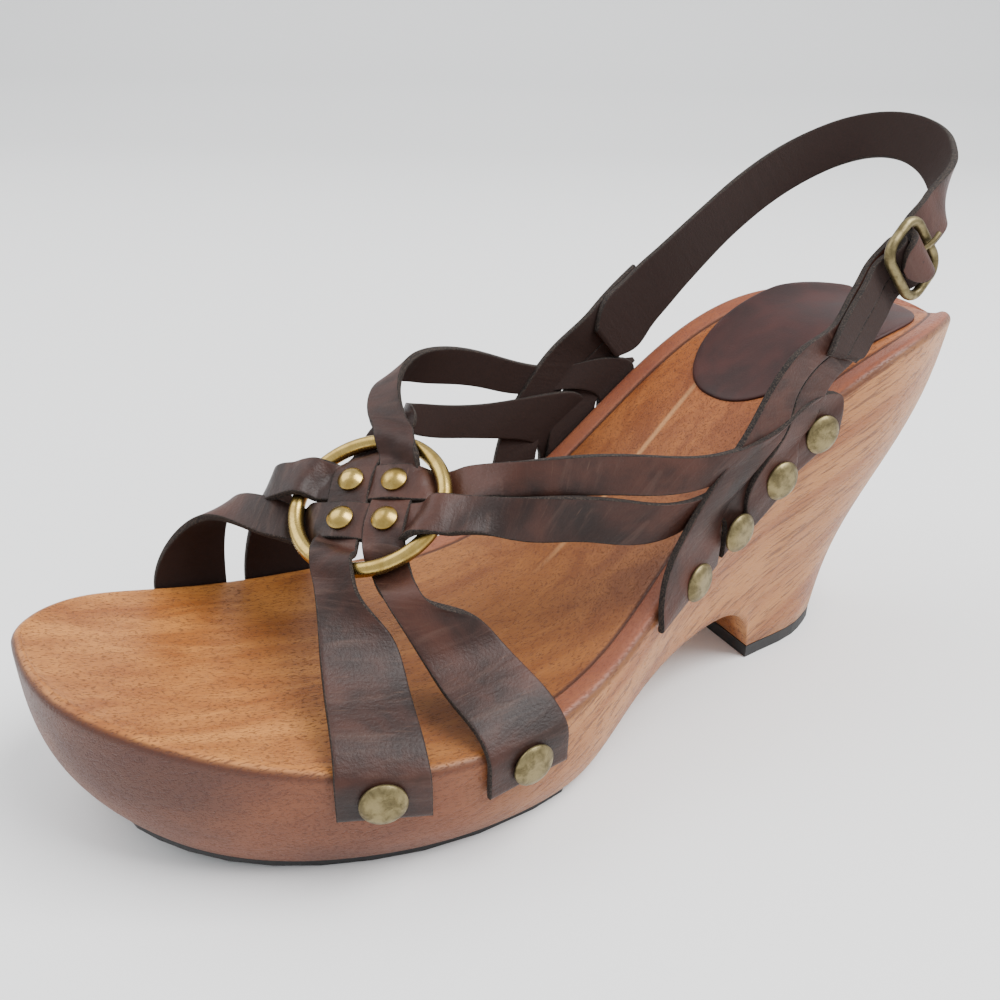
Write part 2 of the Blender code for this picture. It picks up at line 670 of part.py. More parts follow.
def patch(name, points, quads):
    """Leather of even thickness about any patch of four-sided faces."""
    points = np.asarray(points, float)
    normal = np.zeros_like(points)
    uses = {}
    for quad in quads:
        corner = points[list(quad)]
        turn = np.cross(corner[2] - corner[0], corner[3] - corner[1])
        for index in quad:
            normal[index] += turn
        for start, end in zip(quad, quad[1:] + quad[:1]):
            uses.setdefault(frozenset((start, end)), []).append((start, end))
    normal = unit(normal) * LEATHER / 2
    count = len(points)
    faces = [quad for quad in quads]
    faces += [tuple(index + count for index in quad[::-1]) for quad in quads]
    for edge in uses.values():
        if len(edge) == 1:
            start, end = edge[0]
            faces.append((end, start, start + count, end + count))
    return mesh_object(name, np.concatenate([points + normal, points - normal]), faces, HIDE, 0.5)


def quarter_patch(name, rows, fingers):
    """Quarter that splits into two fingers below its first row; rows have seven columns."""
    count, cols = rows.shape[:2]
    points = [point for row in rows for point in row]
    quads = []
    for row in range(count - 1):
        for col in range(cols - 1):
            quads.append((row * cols + col, row * cols + col + 1,
                          (row + 1) * cols + col + 1, (row + 1) * cols + col))
    for finger, first in zip(fingers, (0, 3)):
        above = [first + col for col in range(4)]
        for row in finger[1:]:
            below = [len(points) + col for col in range(4)]
            points += list(row)
            for col in range(3):
                quads.append((above[col + 1], above[col], below[col], below[col + 1]))
            above = below
    return patch(name, points, quads)


# Buckle, its tab and the end of the sling strap

def buckle_axes():
    """Way of the strap at the buckle, way across it towards the toe, and way outwards."""
    along = unit(BUCKLE_WAY)
    out = unit(np.array(BUCKLE_OUT) - along * np.dot(BUCKLE_OUT, along))
    return along, np.cross(out, along), out


def buckle_point(along, across, out):
    """Point at distances along, across and out of the middle of the buckle's window."""
    axes = buckle_axes()
    return np.array(BUCKLE_CENTRE) + along * axes[0] + across * axes[1] + out * axes[2]


def tab_path():
    """Middle of the tab seen from its edge: inner layer, fold round the bar, outer layer."""
    inner = [(-26.0, -2.6), (-19.0, -3.6), (-12.5, -4.55), (-7.4, -5.25), (-3.2, -4.75)]
    turn = np.radians(np.linspace(-90.0, 90.0, 7))
    reach = BAR_RADIUS + FIT_GAP + LEATHER / 2
    fold = [(BAR_ALONG + reach * math.cos(angle), BAR_DROP + reach * math.sin(angle)) for angle in turn]
    outer = [(-3.1, -0.4), (-5.2, -2.4), (-7.8, -3.1), (-12.5, -2.35), (-19.0, -1.45), (-26.0, -0.45)]
    return inner + fold + outer


def outer_quarter_rows():
    """Rows of the outer quarter and tab, seven points across, from the split line up."""
    split = np.array(SPLITS["outer"])
    tab = tab_path()
    fronts = [split[0]] + [np.array(row[:3]) for row in OUTER_QUARTER]
    rears = [split[2]] + [np.array(row[3:]) for row in OUTER_QUARTER]
    for along, out in tab:
        fronts.append(buckle_point(along, TAB_WIDTH / 2, out))
        rears.append(buckle_point(along, -TAB_WIDTH / 2, out))
    fronts.append(np.array(TAB_END[0]))
    rears.append(np.array(TAB_END[1]))
    share = np.linspace(0.0, 1.0, 7)[:, None]
    rows = []
    for index, (front, rear) in enumerate(zip(fronts, rears)):
        row = front + (rear - front) * share
        if index == 0:
            row = np.concatenate([split[0] + (split[1] - split[0]) * share[::2],
                                  (split[1] + (split[2] - split[1]) * share[::2])[1:]])
        rows.append(row)
    return np.array(rows)


def sling_grid():
    """Middle surface of the sling strap, four columns from its lower to its upper edge."""
    rows = [row[:3] for row in SLING_ROWS]
    widths = [row[3] for row in SLING_ROWS]
    leans = [row[4] for row in SLING_ROWS]
    along, across, out = buckle_axes()
    for distance, rise in SLING_END:
        rows.append(tuple(buckle_point(distance, 0.0, rise)))
    rows = np.array(rows)
    gone = np.concatenate([[0.0], np.cumsum(np.linalg.norm(np.diff(rows, axis=0), axis=1))])
    bend = gone[len(SLING_ROWS) - 1]
    reading = np.concatenate([np.linspace(0.0, bend, SLING_STEPS)[:-1],
                              np.linspace(bend, gone[-1], SLING_END_STEPS)])
    centre = spline(gone, rows, reading)
    width = np.interp(reading, gone[:len(widths)], widths)
    lean = np.interp(reading, gone[:len(leans)], leans)
    heading = unit(np.gradient(centre, axis=0))
    up = np.array([0.0, 0.0, 1.0])
    rise = unit(up - heading * (heading @ up)[:, None])
    outward = np.cross(heading, rise)
    angle = np.radians(lean)[:, None]
    rise = rise * np.cos(angle) - outward * np.sin(angle)
    blend = np.clip((reading - bend + 12.0) / 12.0, 0.0, 1.0)[:, None]
    rise = unit(rise * (1 - blend) + across * blend)
    left = gone[-1] - reading
    tip = np.sqrt(np.clip(1 - (1 - np.minimum(left / TIP_LENGTH, 1)) ** 2, 0.06, 1))
    half = (width / 2 * tip)[:, None, None]
    return centre[:, None] + rise[:, None] * half * STRAND_ACROSS[None, :, None]


def inner_quarter_rows():
    """Rows of the inner quarter from the split line up along the outside of the sling strap."""
    split = np.array(SPLITS["inner"])
    sling = sling_grid()
    side = outward_normal(sling[:LAP_ROWS + 1], "inner")
    lap = (sling[:LAP_ROWS + 1] + side * (LEATHER + FIT_GAP))[:LAP_ROWS]
    share = np.linspace(0.0, 1.0, 7)[:, None]
    rows = [np.concatenate([split[0] + (split[1] - split[0]) * share[::2],
                            (split[1] + (split[2] - split[1]) * share[::2])[1:]])]
    for row in lap:
        rows.append(row[-1] + (row[0] - row[-1]) * share)
    return np.array(rows)


# Fastenings

def disc(name, centre, out, radius, rows, sides, colour):
    """Turned button: rows of (share of the radius, height), from its back to its face."""
    side_way = unit(np.cross(out, [0.0, 0.0, 1.0]))
    up_way = np.cross(side_way, out)
    loops = []
    for share, height in rows:
        reach = max(radius * share, 0.002)
        loops.append([centre + out * height
                      + side_way * reach * math.cos(2 * math.pi * side / sides)
                      + up_way * reach * math.sin(2 * math.pi * side / sides) for side in range(sides)])
    points, faces = capped(np.array(loops))
    return mesh_object(name, points, faces, colour, 0.35, 1.0, smooth=50.0)


def make_rivets():
    """Four small domed rivets where the strands cross."""
    centre, first, second, normal = ring_frame()
    rows = [(1.0, 0.0), (0.97, 0.6), (0.72, 1.45), (0.3, DOME_HEIGHT)]
    base = WEAVE_RISE + LEATHER / 2 + RIVET_GAP
    for index, (along, across) in enumerate(((1, -1), (1, 1), (-1, -1), (-1, 1))):
        spot = centre + first * along * WEAVE_PITCH / 2 + second * across * WEAVE_PITCH / 2
        disc("rivet_%d" % (index + 1), spot + normal * base, normal, DOME_RADIUS, rows, 14, BRASS)


def make_studs():
    """Twelve low round studs that nail the straps to the sides of the block."""
    rows = [(1.0, 0.0), (1.0, 0.7), (0.93, 1.2), (0.7, STUD_HEIGHT)]
    for index, (side, station, layers, gap) in enumerate(STUDS):
        rim, out = rim_point(side, turn_of(station))
        base = WRAP_GAP + LEATHER + (layers - 1) * (LEATHER - FUSE) + gap
        spot = rim + out * base - np.array([0, 0, NAIL_DEPTH])
        disc("stud_%02d" % (index + 1), spot, out, STUD_RADIUS, rows, 16, OLD_BRASS)


def tube(path, radius, sides, out):
    """Closed loops of round wire along a path; out is any way that is never along the path."""
    path = np.asarray(path, float)
    heading = unit(np.gradient(path, axis=0))
    level = unit(np.cross(heading, out))
    rise = np.cross(level, heading)
    angle = 2 * math.pi * np.arange(sides) / sides
    return (path[:, None] + radius * (level[:, None] * np.cos(angle)[None, :, None]
                                      + rise[:, None] * np.sin(angle)[None, :, None]))


def make_buckle():
    """Rounded wire frame with a lower cross bar, as one piece of brass."""
    along, across, out = buckle_axes()
    path = []
    for corner, (sign_a, sign_c) in enumerate(((1, 1), (-1, 1), (-1, -1), (1, -1))):
        for angle in np.linspace(0.0, 90.0, 6):
            turn = math.radians(90.0 * corner + angle)
            middle = (sign_a * (BUCKLE_HALF_LONG - BUCKLE_CORNER),
                      sign_c * (BUCKLE_HALF_WIDE - BUCKLE_CORNER))
            path.append(buckle_point(middle[0] + BUCKLE_CORNER * math.cos(turn),
                                     middle[1] + BUCKLE_CORNER * math.sin(turn), 0.0))
    path = np.array(path)
    heading = unit(np.roll(path, -1, axis=0) - np.roll(path, 1, axis=0))
    level = unit(np.cross(heading, out))
    turn = 2 * math.pi * np.arange(8) / 8
    loops = path[:, None] + BUCKLE_WIRE * (level[:, None] * np.cos(turn)[None, :, None]
                                           + out * np.sin(turn)[None, :, None])
    points, faces = loop_skin(np.concatenate([loops, loops[:1]]))
    frame = mesh_object("buckle_frame", points, faces, OLD_BRASS, 0.35, 1.0)
    ends = [buckle_point(BAR_ALONG, BUCKLE_HALF_WIDE * side, BAR_DROP) for side in (-0.96, -0.3, 0.3, 0.96)]
    points, faces = capped(tube(ends, BAR_RADIUS, 10, along))
    bar = mesh_object("buckle_bar", points, faces, OLD_BRASS, 0.35, 1.0)
    join(frame, [bar], "UNION")
    heal(frame)
    return frame


def prong_path():
    """Middle of the prong: a loop round the bar, then out over the frame."""
    reach = BAR_RADIUS + FIT_GAP + PRONG_RADIUS
    loop = [(BAR_ALONG + reach * math.cos(turn), BAR_DROP + reach * math.sin(turn))
            for turn in np.radians(np.linspace(385.0, 100.0, 12))]
    out = [(0.9, 0.1), (2.4, 0.75), (3.9, 1.5), (5.4, 2.2), (6.9, 2.5), (8.6, 2.4)]
    return [buckle_point(along, 0.0, rise) for along, rise in loop + out]


def make_prong():
    """Short prong hinged on the cross bar; it rests on the rear bar of the frame."""
    points, faces = capped(tube(prong_path(), PRONG_RADIUS, 6, buckle_axes()[1]))
    return mesh_object("buckle_prong", points, faces, OLD_BRASS, 0.35, 1.0)


def join(body, tools, kind):
    """Exact boolean of a body with tools, which are then removed."""
    for tool in tools:
        tool.hide_render = True
        tool.display_type = "WIRE"
        step = body.modifiers.new(tool.name, "BOOLEAN")
        step.operation = kind
        step.solver = "EXACT"
        step.use_self = kind == "UNION"
        step.object = tool
        graph = bpy.context.evaluated_depsgraph_get()
        graph.update()
        mesh = bpy.data.meshes.new_from_object(body.evaluated_get(graph))
        body.modifiers.clear()
        body.data = mesh
        bpy.data.objects.remove(tool, do_unlink=True)
    return body


def heal(body):
    """Keep the one body of a boolean, without its slivers, and set the shading again."""
    shape = bmesh.new()
    shape.from_mesh(body.data)
    bmesh.ops.triangulate(shape, faces=shape.faces)
    bmesh.ops.dissolve_degenerate(shape, edges=shape.edges, dist=0.00001)
    left = set(shape.verts)
    islands = []
    while left:
        island = {left.pop()}
        front = list(island)
        while front:
            corner = front.pop()
            for edge in corner.link_edges:
                other = edge.other_vert(corner)
                if other in left:
                    left.discard(other)
                    island.add(other)
                    front.append(other)
        islands.append(island)
    islands.sort(key=len)
    for island in islands[:-1]:
        bmesh.ops.delete(shape, geom=list(island), context="VERTS")
    for _ in range(3):
        loose = [edge for edge in shape.edges if not edge.link_faces]
        bmesh.ops.delete(shape, geom=loose, context="EDGES")
        wild = [edge for edge in shape.edges if len(edge.link_faces) > 2]
        if wild:
            bmesh.ops.collapse(shape, edges=wild)
        bmesh.ops.dissolve_degenerate(shape, edges=shape.edges, dist=0.00001)
    bmesh.ops.delete(shape, geom=[corner for corner in shape.verts if not corner.link_faces],
                     context="VERTS")
    bmesh.ops.triangulate(shape, faces=shape.faces)
    bmesh.ops.recalc_face_normals(shape, faces=shape.faces)
    shape.to_mesh(body.data)
    shape.free()
    body.data.shade_smooth()
    body.data.set_sharp_from_angle(angle=math.radians(40.0))


def round_cutter(name, start, end, radius):
    """Straight round cutter from start to end."""
    path = np.array([start, (np.array(start) + end) / 2, end])
    points, faces = capped(tube(path, radius, 12, buckle_axes()[1]))
    return mesh_object(name, points, faces, HIDE, 0.5)


def make_sling():
    """Sling strap from the inner quarter round the heel to the buckle, with its holes."""
    grid = sling_grid()
    root = grid[0].mean(axis=0)
    grid[0] = root + (grid[0] - root) * SLING_ROOT_SHARE
    sling = strip("sling_strap", grid)
    cutters = [round_cutter("prong_hole", buckle_point(1.0, 0.0, 0.1), buckle_point(4.9, 0.0, 2.0),
                            PRONG_RADIUS + FIT_GAP + 0.35)]
    middle = grid[:, 1:3].mean(axis=1)
    normal = outward_normal(grid, "outer")[:, 1:3].mean(axis=1)
    for index, row in enumerate(SLING_HOLES):
        cutters.append(round_cutter("sling_hole_%d" % index, middle[row] - unit(normal[row]) * 2.0,
                                    middle[row] + unit(normal[row]) * 2.0, HOLE_RADIUS))
    join(sling, cutters, "DIFFERENCE")
    heal(sling)
    return sling


def make_upper():
    """All the straps and both quarters as one piece of leather."""
    strands = {}
    legs = {}
    for name, run, aside, way in STRANDS:
        middle = strand_grid(name, run, aside, way)
        strands[name] = middle
        legs[name, -1] = leg_grid(middle[1::-1], name, -1)
        legs[name, 1] = leg_grid(middle[-2:], name, 1)
    quarters = {"outer": outer_quarter_rows(), "inner": inner_quarter_rows()}
    fingers = {}
    for name, side, half, front, rear, fall in FINGERS:
        columns = slice(0, 4) if half == 0 else slice(3, 7)
        root = quarters[side][1::-1, columns]
        fingers[name] = finger_grid(root, name, side, front, rear, fall)
    for over, under in CROSSINGS:
        grids = [fingers[name] if name in fingers else legs[name, 1] for name in (over, under)]
        raise_over(grids[0], grids[1], "outer" if "outer" in over + under else "inner")
    pieces = []
    for name, middle in strands.items():
        whole = np.concatenate([legs[name, -1][::-1], middle, legs[name, 1]])
        pieces.append(strip("strap_" + name, whole))
    for side, rows in quarters.items():
        pair = [fingers[side + "_front"], fingers[side + "_rear"]]
        pieces.append(quarter_patch("quarter_" + side, rows, pair))
    upper = join(pieces[0], pieces[1:], "UNION")
    slot = [[buckle_point(along, across, out) for along, out in SLOT_CORNERS]
            for across in (-SLOT_HALF, SLOT_HALF)]
    points, faces = capped(np.array(slot))
    join(upper, [mesh_object("prong_slot", points, faces, HIDE, 0.5)], "DIFFERENCE")
    upper.name = "upper_straps"
    upper.data.name = "upper_straps"
    heal(upper)
    return upper


def recentre():
    """Move every mesh so that the origin stands under the middle of the whole sandal."""
    things = [thing for thing in bpy.context.scene.objects if thing.type == "MESH"]
    corners = np.array([tuple(vertex.co) for thing in things for vertex in thing.data.vertices])
    low, high = corners.min(axis=0), corners.max(axis=0)
    middle = (low + high) / 2
    shift = np.array([-middle[0], -middle[1], -low[2]])
    for thing in things:
        for vertex in thing.data.vertices:
            vertex.co = tuple(np.array(vertex.co) + shift)


def main():
    """Build every piece of the sandal."""
    make_block()
    make_outsole()
    make_toplift()
    make_pad()
    make_ring()
    make_rivets()
    make_studs()
    make_buckle()
    make_prong()
    make_sling()
    make_upper()
    recentre()


for thing in list(bpy.context.scene.objects):
    bpy.data.objects.remove(thing, do_unlink=True)
main()
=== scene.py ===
"""Looks of the left sandal on its carved wooden sole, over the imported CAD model.

Sizes in the shape formulas are millimetres in the sandal's own drawing frame: +X to the toe,
+Y to the outer side and +Z up. place() turns them into metres of the row frame. A turn is the
angle round the block's outline in degrees, 0 at the heel's back and 180 at the toe.
"""
import math

import bmesh
import bpy
import numpy as np
from mathutils import Matrix, Vector


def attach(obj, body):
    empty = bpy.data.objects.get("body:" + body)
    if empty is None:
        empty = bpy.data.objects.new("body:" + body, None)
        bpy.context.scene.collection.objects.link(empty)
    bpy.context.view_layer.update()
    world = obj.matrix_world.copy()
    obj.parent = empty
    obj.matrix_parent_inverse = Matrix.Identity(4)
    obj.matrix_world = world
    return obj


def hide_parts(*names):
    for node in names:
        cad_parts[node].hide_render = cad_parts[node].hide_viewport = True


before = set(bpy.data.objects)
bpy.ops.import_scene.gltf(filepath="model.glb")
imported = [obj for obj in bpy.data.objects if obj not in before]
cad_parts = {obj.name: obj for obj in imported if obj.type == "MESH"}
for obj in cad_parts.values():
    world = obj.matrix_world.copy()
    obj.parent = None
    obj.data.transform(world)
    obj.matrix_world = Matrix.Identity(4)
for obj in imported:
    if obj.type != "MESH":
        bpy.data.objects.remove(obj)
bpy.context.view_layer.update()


# Carved wooden block
# One piece of close-grained hardwood, sanded and waxed, with a shallow groove inside its rim.
# It is the body of the shoe: everything else is nailed or glued to it.

SOLE_LENGTH = 254.0
RIM_RADIUS = 2.2
WALL_CURVE = 3.6
BED_DISH = 1.6
SEAT_DISH = 3.0
RIM_ROWS = (
    # turn, outer y, inner y, height
    (0, 4.0, 4.0, 88.0),
    (14, 11.5, -8.0, 91.0),
    (32, 22.0, -20.0, 93.0),
    (48, 30.0, -31.0, 91.0),
    (62, 29.8, -35.0, 79.8),
    (76, 31.0, -35.0, 58.5),
    (92, 43.0, -35.0, 34.9),
    (112, 51.2, -39.0, 27.6),
    (132, 41.4, -37.5, 31.9),
    (150, 26.5, -33.0, 38.8),
    (166, 8.8, -23.0, 42.3),
    (180, -13.2, -13.2, 43.3),
)
BASE_ROWS = (
    # turn, x, outer y, inner y, height
    (0, -93.0, 0.0, 0.0, 4.0),
    (14, -90.0, 9.0, -9.0, 4.0),
    (32, -80.0, 16.0, -16.0, 4.0),
    (48, -66.0, 19.6, -19.6, 4.0),
    (56, -54.4, 20.8, -20.8, 4.0),
    (60, -52.6, 21.6, -21.6, 9.0),
    (64, -49.5, 22.8, -23.0, 15.3),
    (68, -44.0, 24.0, -25.0, 19.4),
    (73, -36.0, 25.4, -26.5, 20.4),
    (80, -22.0, 29.0, -28.0, 18.8),
    (90, -2.0, 36.5, -30.5, 12.6),
    (98, 13.0, 42.0, -32.5, 4.6),
    (104, 25.0, 45.0, -34.0, 2.8),
    (112, 44.0, 46.6, -35.2, 2.8),
    (124, 68.0, 42.6, -34.0, 2.8),
    (134, 84.5, 36.4, -32.4, 3.4),
    (144, 98.0, 28.8, -30.0, 5.2),
    (154, 108.6, 19.6, -26.6, 8.0),
    (164, 116.0, 8.4, -21.4, 11.0),
    (172, 119.6, -1.0, -17.0, 12.8),
    (180, 121.0, -10.0, -10.0, 13.4),
)
BREAST_TURN = 56.0
UP = np.array([0.0, 0.0, 1.0])
SIDE_COLUMN = {"outer": 0, "inner": 1}
TURN_DELTA = 0.5
SEAT_END_TURN = 40.0
SEAT_BLEND = 60.0
HEEL_BULGE = 0.1
BALL_TURN = 78.0
BALL_BLEND = 20.0
GROOVE_IN = 4.6
GROOVE_WIDE = 0.55
GROOVE_DEEP = 0.45
GROOVE_LAST_TURN = 108.0
GROOVE_FADE = 14.0
GROOVE_LEAST_WIDTH = 12.0
BED_STEPS = np.array([0.0, 1.2, 2.4, 3.4, 3.9, 4.2, 4.6, 5.0, 5.3, 5.9, 7.5])
BED_STEPS_WIDTH = 17.0
BED_MIDDLE_STEPS = 13
RIM_STEPS = 6
WALL_STEPS = 21
UNDER_SHARES = (0.6, 0.0, -0.6)
UNDER_DROP = 90.0
SHIFT = np.array([0.0, -5.797, 0.085])
MM = 0.001
MERGE_METRES = 0.000004


def unit(vector):
    """Vectors of length one along the last axis."""
    vector = np.asarray(vector, float)
    return vector / np.linalg.norm(vector, axis=-1, keepdims=True)


def spline(keys, values, at):
    """Natural cubic spline through (key, value) rows, read at the positions in at."""
    keys, values, at = (np.asarray(series, float) for series in (keys, values, at))
    count = len(keys)
    step = np.diff(keys)
    flat = values.reshape(count, -1)
    slope = np.diff(flat, axis=0) / step[:, None]
    system = np.eye(count)
    right = np.zeros_like(flat)
    for row in range(1, count - 1):
        system[row, row - 1:row + 2] = (step[row - 1], 2 * (step[row - 1] + step[row]), step[row])
        right[row] = 6 * (slope[row] - slope[row - 1])
    bend = np.linalg.solve(system, right)
    span = np.clip(np.searchsorted(keys, at.ravel(), side="right") - 1, 0, count - 2)
    width = step[span][:, None]
    left = (keys[span + 1] - at.ravel())[:, None]
    gone = (at.ravel() - keys[span])[:, None]
    result = (bend[span] * left ** 3 + bend[span + 1] * gone ** 3) / (6 * width)
    result += (flat[span] / width - bend[span] * width / 6) * left
    result += (flat[span + 1] / width - bend[span + 1] * width / 6) * gone
    return result.reshape(at.shape + values.shape[1:])


def at_turn(rows, turn):
    """Values of a table, whose first column is a turn, at any turn."""
    rows = np.array(rows, float)
    return spline(rows[:, 0], rows[:, 1:], turn)


def turn_of(station):
    """Turn of the rim row that stands at x = station."""
    return np.degrees(np.arccos(np.clip(-2 * np.asarray(station, float) / SOLE_LENGTH, -1, 1)))


def rim_point(side, turn):
    """Point on the rim, and the outline's outward level direction there."""
    turn = np.asarray(turn, float)

    def spot(angle):
        rows = at_turn(RIM_ROWS, angle)
        x = -SOLE_LENGTH / 2 * np.cos(np.radians(angle))
        return np.stack([x, rows[..., SIDE_COLUMN[side]], rows[..., 2]], axis=-1)

    ahead = spot(np.minimum(turn + TURN_DELTA, 180.0)) - spot(np.maximum(turn - TURN_DELTA, 0.0))
    sign = 1.0 if side == "outer" else -1.0
    outward = unit(np.stack([-sign * ahead[..., 1], sign * ahead[..., 0]], axis=-1))
    outward = np.concatenate([outward, np.zeros(outward.shape[:-1] + (1,))], axis=-1)
    tip = np.where(turn <= 0, -1.0, np.where(turn >= 180, 1.0, 0.0))[..., None]
    outward = np.where(tip == 0, outward, tip * np.array([1.0, 0.0, 0.0]))
    return spot(turn), outward


def bed_height(turn, across):
    """Height of the footbed at a turn, with across from -1 (inner rim) to 1 (outer rim)."""
    rows = at_turn(RIM_ROWS, turn)
    seat = 0.5 + 0.5 * np.cos(math.pi * np.clip((turn - SEAT_END_TURN) / SEAT_BLEND, 0.0, 1.0))
    dish = BED_DISH + (SEAT_DISH - BED_DISH) * seat
    ends = np.sin(np.radians(np.clip(turn, 0.0, 180.0))) ** 0.5
    return rows[..., 2] - dish * ends * (1 - across ** 4)


def wall_share(turn, down):
    """Share of the way in from rim to base that the wall has made at share down of its height."""
    ball = np.clip((turn - BALL_TURN) / BALL_BLEND, 0.0, 1.0)
    heel = down - HEEL_BULGE * np.sin(2 * math.pi * down)
    return ball * down ** WALL_CURVE + (1 - ball) * heel


def base_point(turn):
    """Edges of the underside at one turn, by side; it is flat under the heel."""
    x, outer, inner, z = at_turn(BASE_ROWS, turn)
    if turn <= BREAST_TURN:
        z = BASE_ROWS[0][4]
    return {"outer": np.array([x, outer, z]), "inner": np.array([x, inner, z])}


def place(points):
    """Drawing millimetres to metres of the row frame."""
    return (np.asarray(points, float) + SHIFT) * MM


class Wire:
    """Output socket of a material. Arithmetic on it adds Math or Vector Math nodes."""

    def __init__(self, tree, socket):
        self.tree = tree
        self.socket = socket

    def node(self, kind, inputs=(), out=0, **settings):
        """Any other node, fed by sockets and constants; returns one of its outputs."""
        made = self.tree.nodes.new(kind)
        for key, value in settings.items():
            setattr(made, key, value)
        for key, value in dict(inputs).items():
            if isinstance(value, Wire):
                self.tree.links.new(value.socket, made.inputs[key])
            else:
                made.inputs[key].default_value = value
        return Wire(self.tree, made.outputs[out])

    def maths(self, kind, *values):
        """One Math node, or a Vector Math node if a value is a vector."""
        wires = [value for value in values if isinstance(value, Wire)]
        if any(wire.socket.type == "VECTOR" for wire in wires):
            whole = [(value,) * 3 if isinstance(value, float) else value for value in values]
            out = 1 if kind == "DISTANCE" else 0
            return self.node("ShaderNodeVectorMath", enumerate(whole), out=out, operation=kind)
        return self.node("ShaderNodeMath", enumerate(values), operation=kind)

    def __add__(self, other):
        return self.maths("ADD", self, other)

    def __radd__(self, other):
        return self.maths("ADD", other, self)

    def __sub__(self, other):
        return self.maths("SUBTRACT", self, other)

    def __rsub__(self, other):
        return self.maths("SUBTRACT", other, self)

    def __mul__(self, other):
        return self.maths("MULTIPLY", self, other)

    def __rmul__(self, other):
        return self.maths("MULTIPLY", other, self)

    def step(self, low, high):
        """0 below low, 1 above high and a smooth step between them."""
        return self.node("ShaderNodeMapRange", {"Value": self, "From Min": low, "From Max": high},
                         interpolation_type="SMOOTHSTEP")

    def blend(self, first, second):
        """Colour that goes from first to second as this value goes from 0 to 1."""
        ends = [end if isinstance(end, Wire) else (*end, 1.0) for end in (first, second)]
        return self.node("ShaderNodeMix", {0: self, 6: ends[0], 7: ends[1]}, out=2,
                         data_type="RGBA")

    def noise(self, scale, detail=3.0, rough=0.5, warp=0.0):
        """Noise read at this vector, from 0 to 1."""
        return self.node("ShaderNodeTexNoise", {"Vector": self, "Scale": scale, "Detail": detail,
                                                "Roughness": rough, "Distortion": warp})

    def stretch(self, x, y, z):
        """This vector with each axis scaled."""
        return self.maths("MULTIPLY", self, (x, y, z))


def new_material(name):
    """Material, its Principled shader and its object coordinates in millimetres."""
    material = bpy.data.materials.new(name)
    material.use_nodes = True
    tree = material.node_tree
    coords = Wire(tree, None).node("ShaderNodeTexCoord", out=3) * (1.0 / MM)
    return material, tree.nodes["Principled BSDF"], coords


def reading(wire, name):
    """Named value of the mesh."""
    return wire.node("ShaderNodeAttribute", out=2, attribute_name=name)


def connect(shader, **inputs):
    """Wires or constants to inputs of a shader; base_color means Base Color."""
    for key, value in inputs.items():
        socket = shader.inputs[key.replace("_", " ").title().replace("Ior", "IOR")]
        if isinstance(value, Wire):
            shader.id_data.links.new(value.socket, socket)
        else:
            socket.default_value = value


def raised(height, shader, distance, strength=1.0):
    """Bump of a height of 0 to 1 that stands for a distance in millimetres."""
    bump = height.node("ShaderNodeBump", {"Height": height, "Distance": distance * MM,
                                          "Strength": strength})
    shader.id_data.links.new(bump.socket, shader.inputs["Normal"])


def linked(name, data):
    """New object of some data, in the scene."""
    thing = bpy.data.objects.new(name, data)
    bpy.context.scene.collection.objects.link(thing)
    return thing


def piece(name, points, faces, material, nodes, values=None):
    """Smooth mesh from drawing points and faces, with named values, in place of CAD nodes."""
    mesh = bpy.data.meshes.new(name)
    mesh.from_pydata(place(points).reshape(-1, 3).tolist(), [], [list(face) for face in faces])
    for key, series in (values or {}).items():
        mesh.attributes.new(key, "FLOAT", "POINT").data.foreach_set("value", np.ravel(series))
    mesh.shade_smooth()
    mesh.materials.append(material)
    thing = linked(name, mesh)
    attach(thing, "root")
    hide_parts(*nodes)
    return thing


def grid_faces(rows, cols, closed=False, start=0):
    """Quads of a grid; closed joins the last column to the first."""
    span = cols if closed else cols - 1
    row, col = np.meshgrid(np.arange(rows - 1), np.arange(span), indexing="ij")
    after = (col + 1) % cols
    quads = np.stack([row * cols + col, row * cols + after,
                      (row + 1) * cols + after, (row + 1) * cols + col], axis=-1)
    return (quads.reshape(-1, 4) + start).tolist()


def finished(thing, merge=True):
    """Turn every face of a mesh outwards, once doubled points are merged where asked."""
    shape = bmesh.new()
    shape.from_mesh(thing.data)
    if merge:
        bmesh.ops.remove_doubles(shape, verts=shape.verts, dist=MERGE_METRES)
        bmesh.ops.dissolve_degenerate(shape, edges=shape.edges, dist=MERGE_METRES / 2)
    bmesh.ops.recalc_face_normals(shape, faces=shape.faces)
    shape.to_mesh(thing.data)
    shape.free()
    thing.data.shade_smooth()


def capped_piece(name, loops, material, node):
    """Closed mesh of rings of points with a flat face over each end, in place of a CAD node."""
    rows, ring = loops.shape[:2]
    last = (rows - 1) * ring
    faces = [*grid_faces(rows, ring, closed=True), range(ring), range(last, last + ring)[::-1]]
    finished(piece(name, loops, faces, material, [node]))


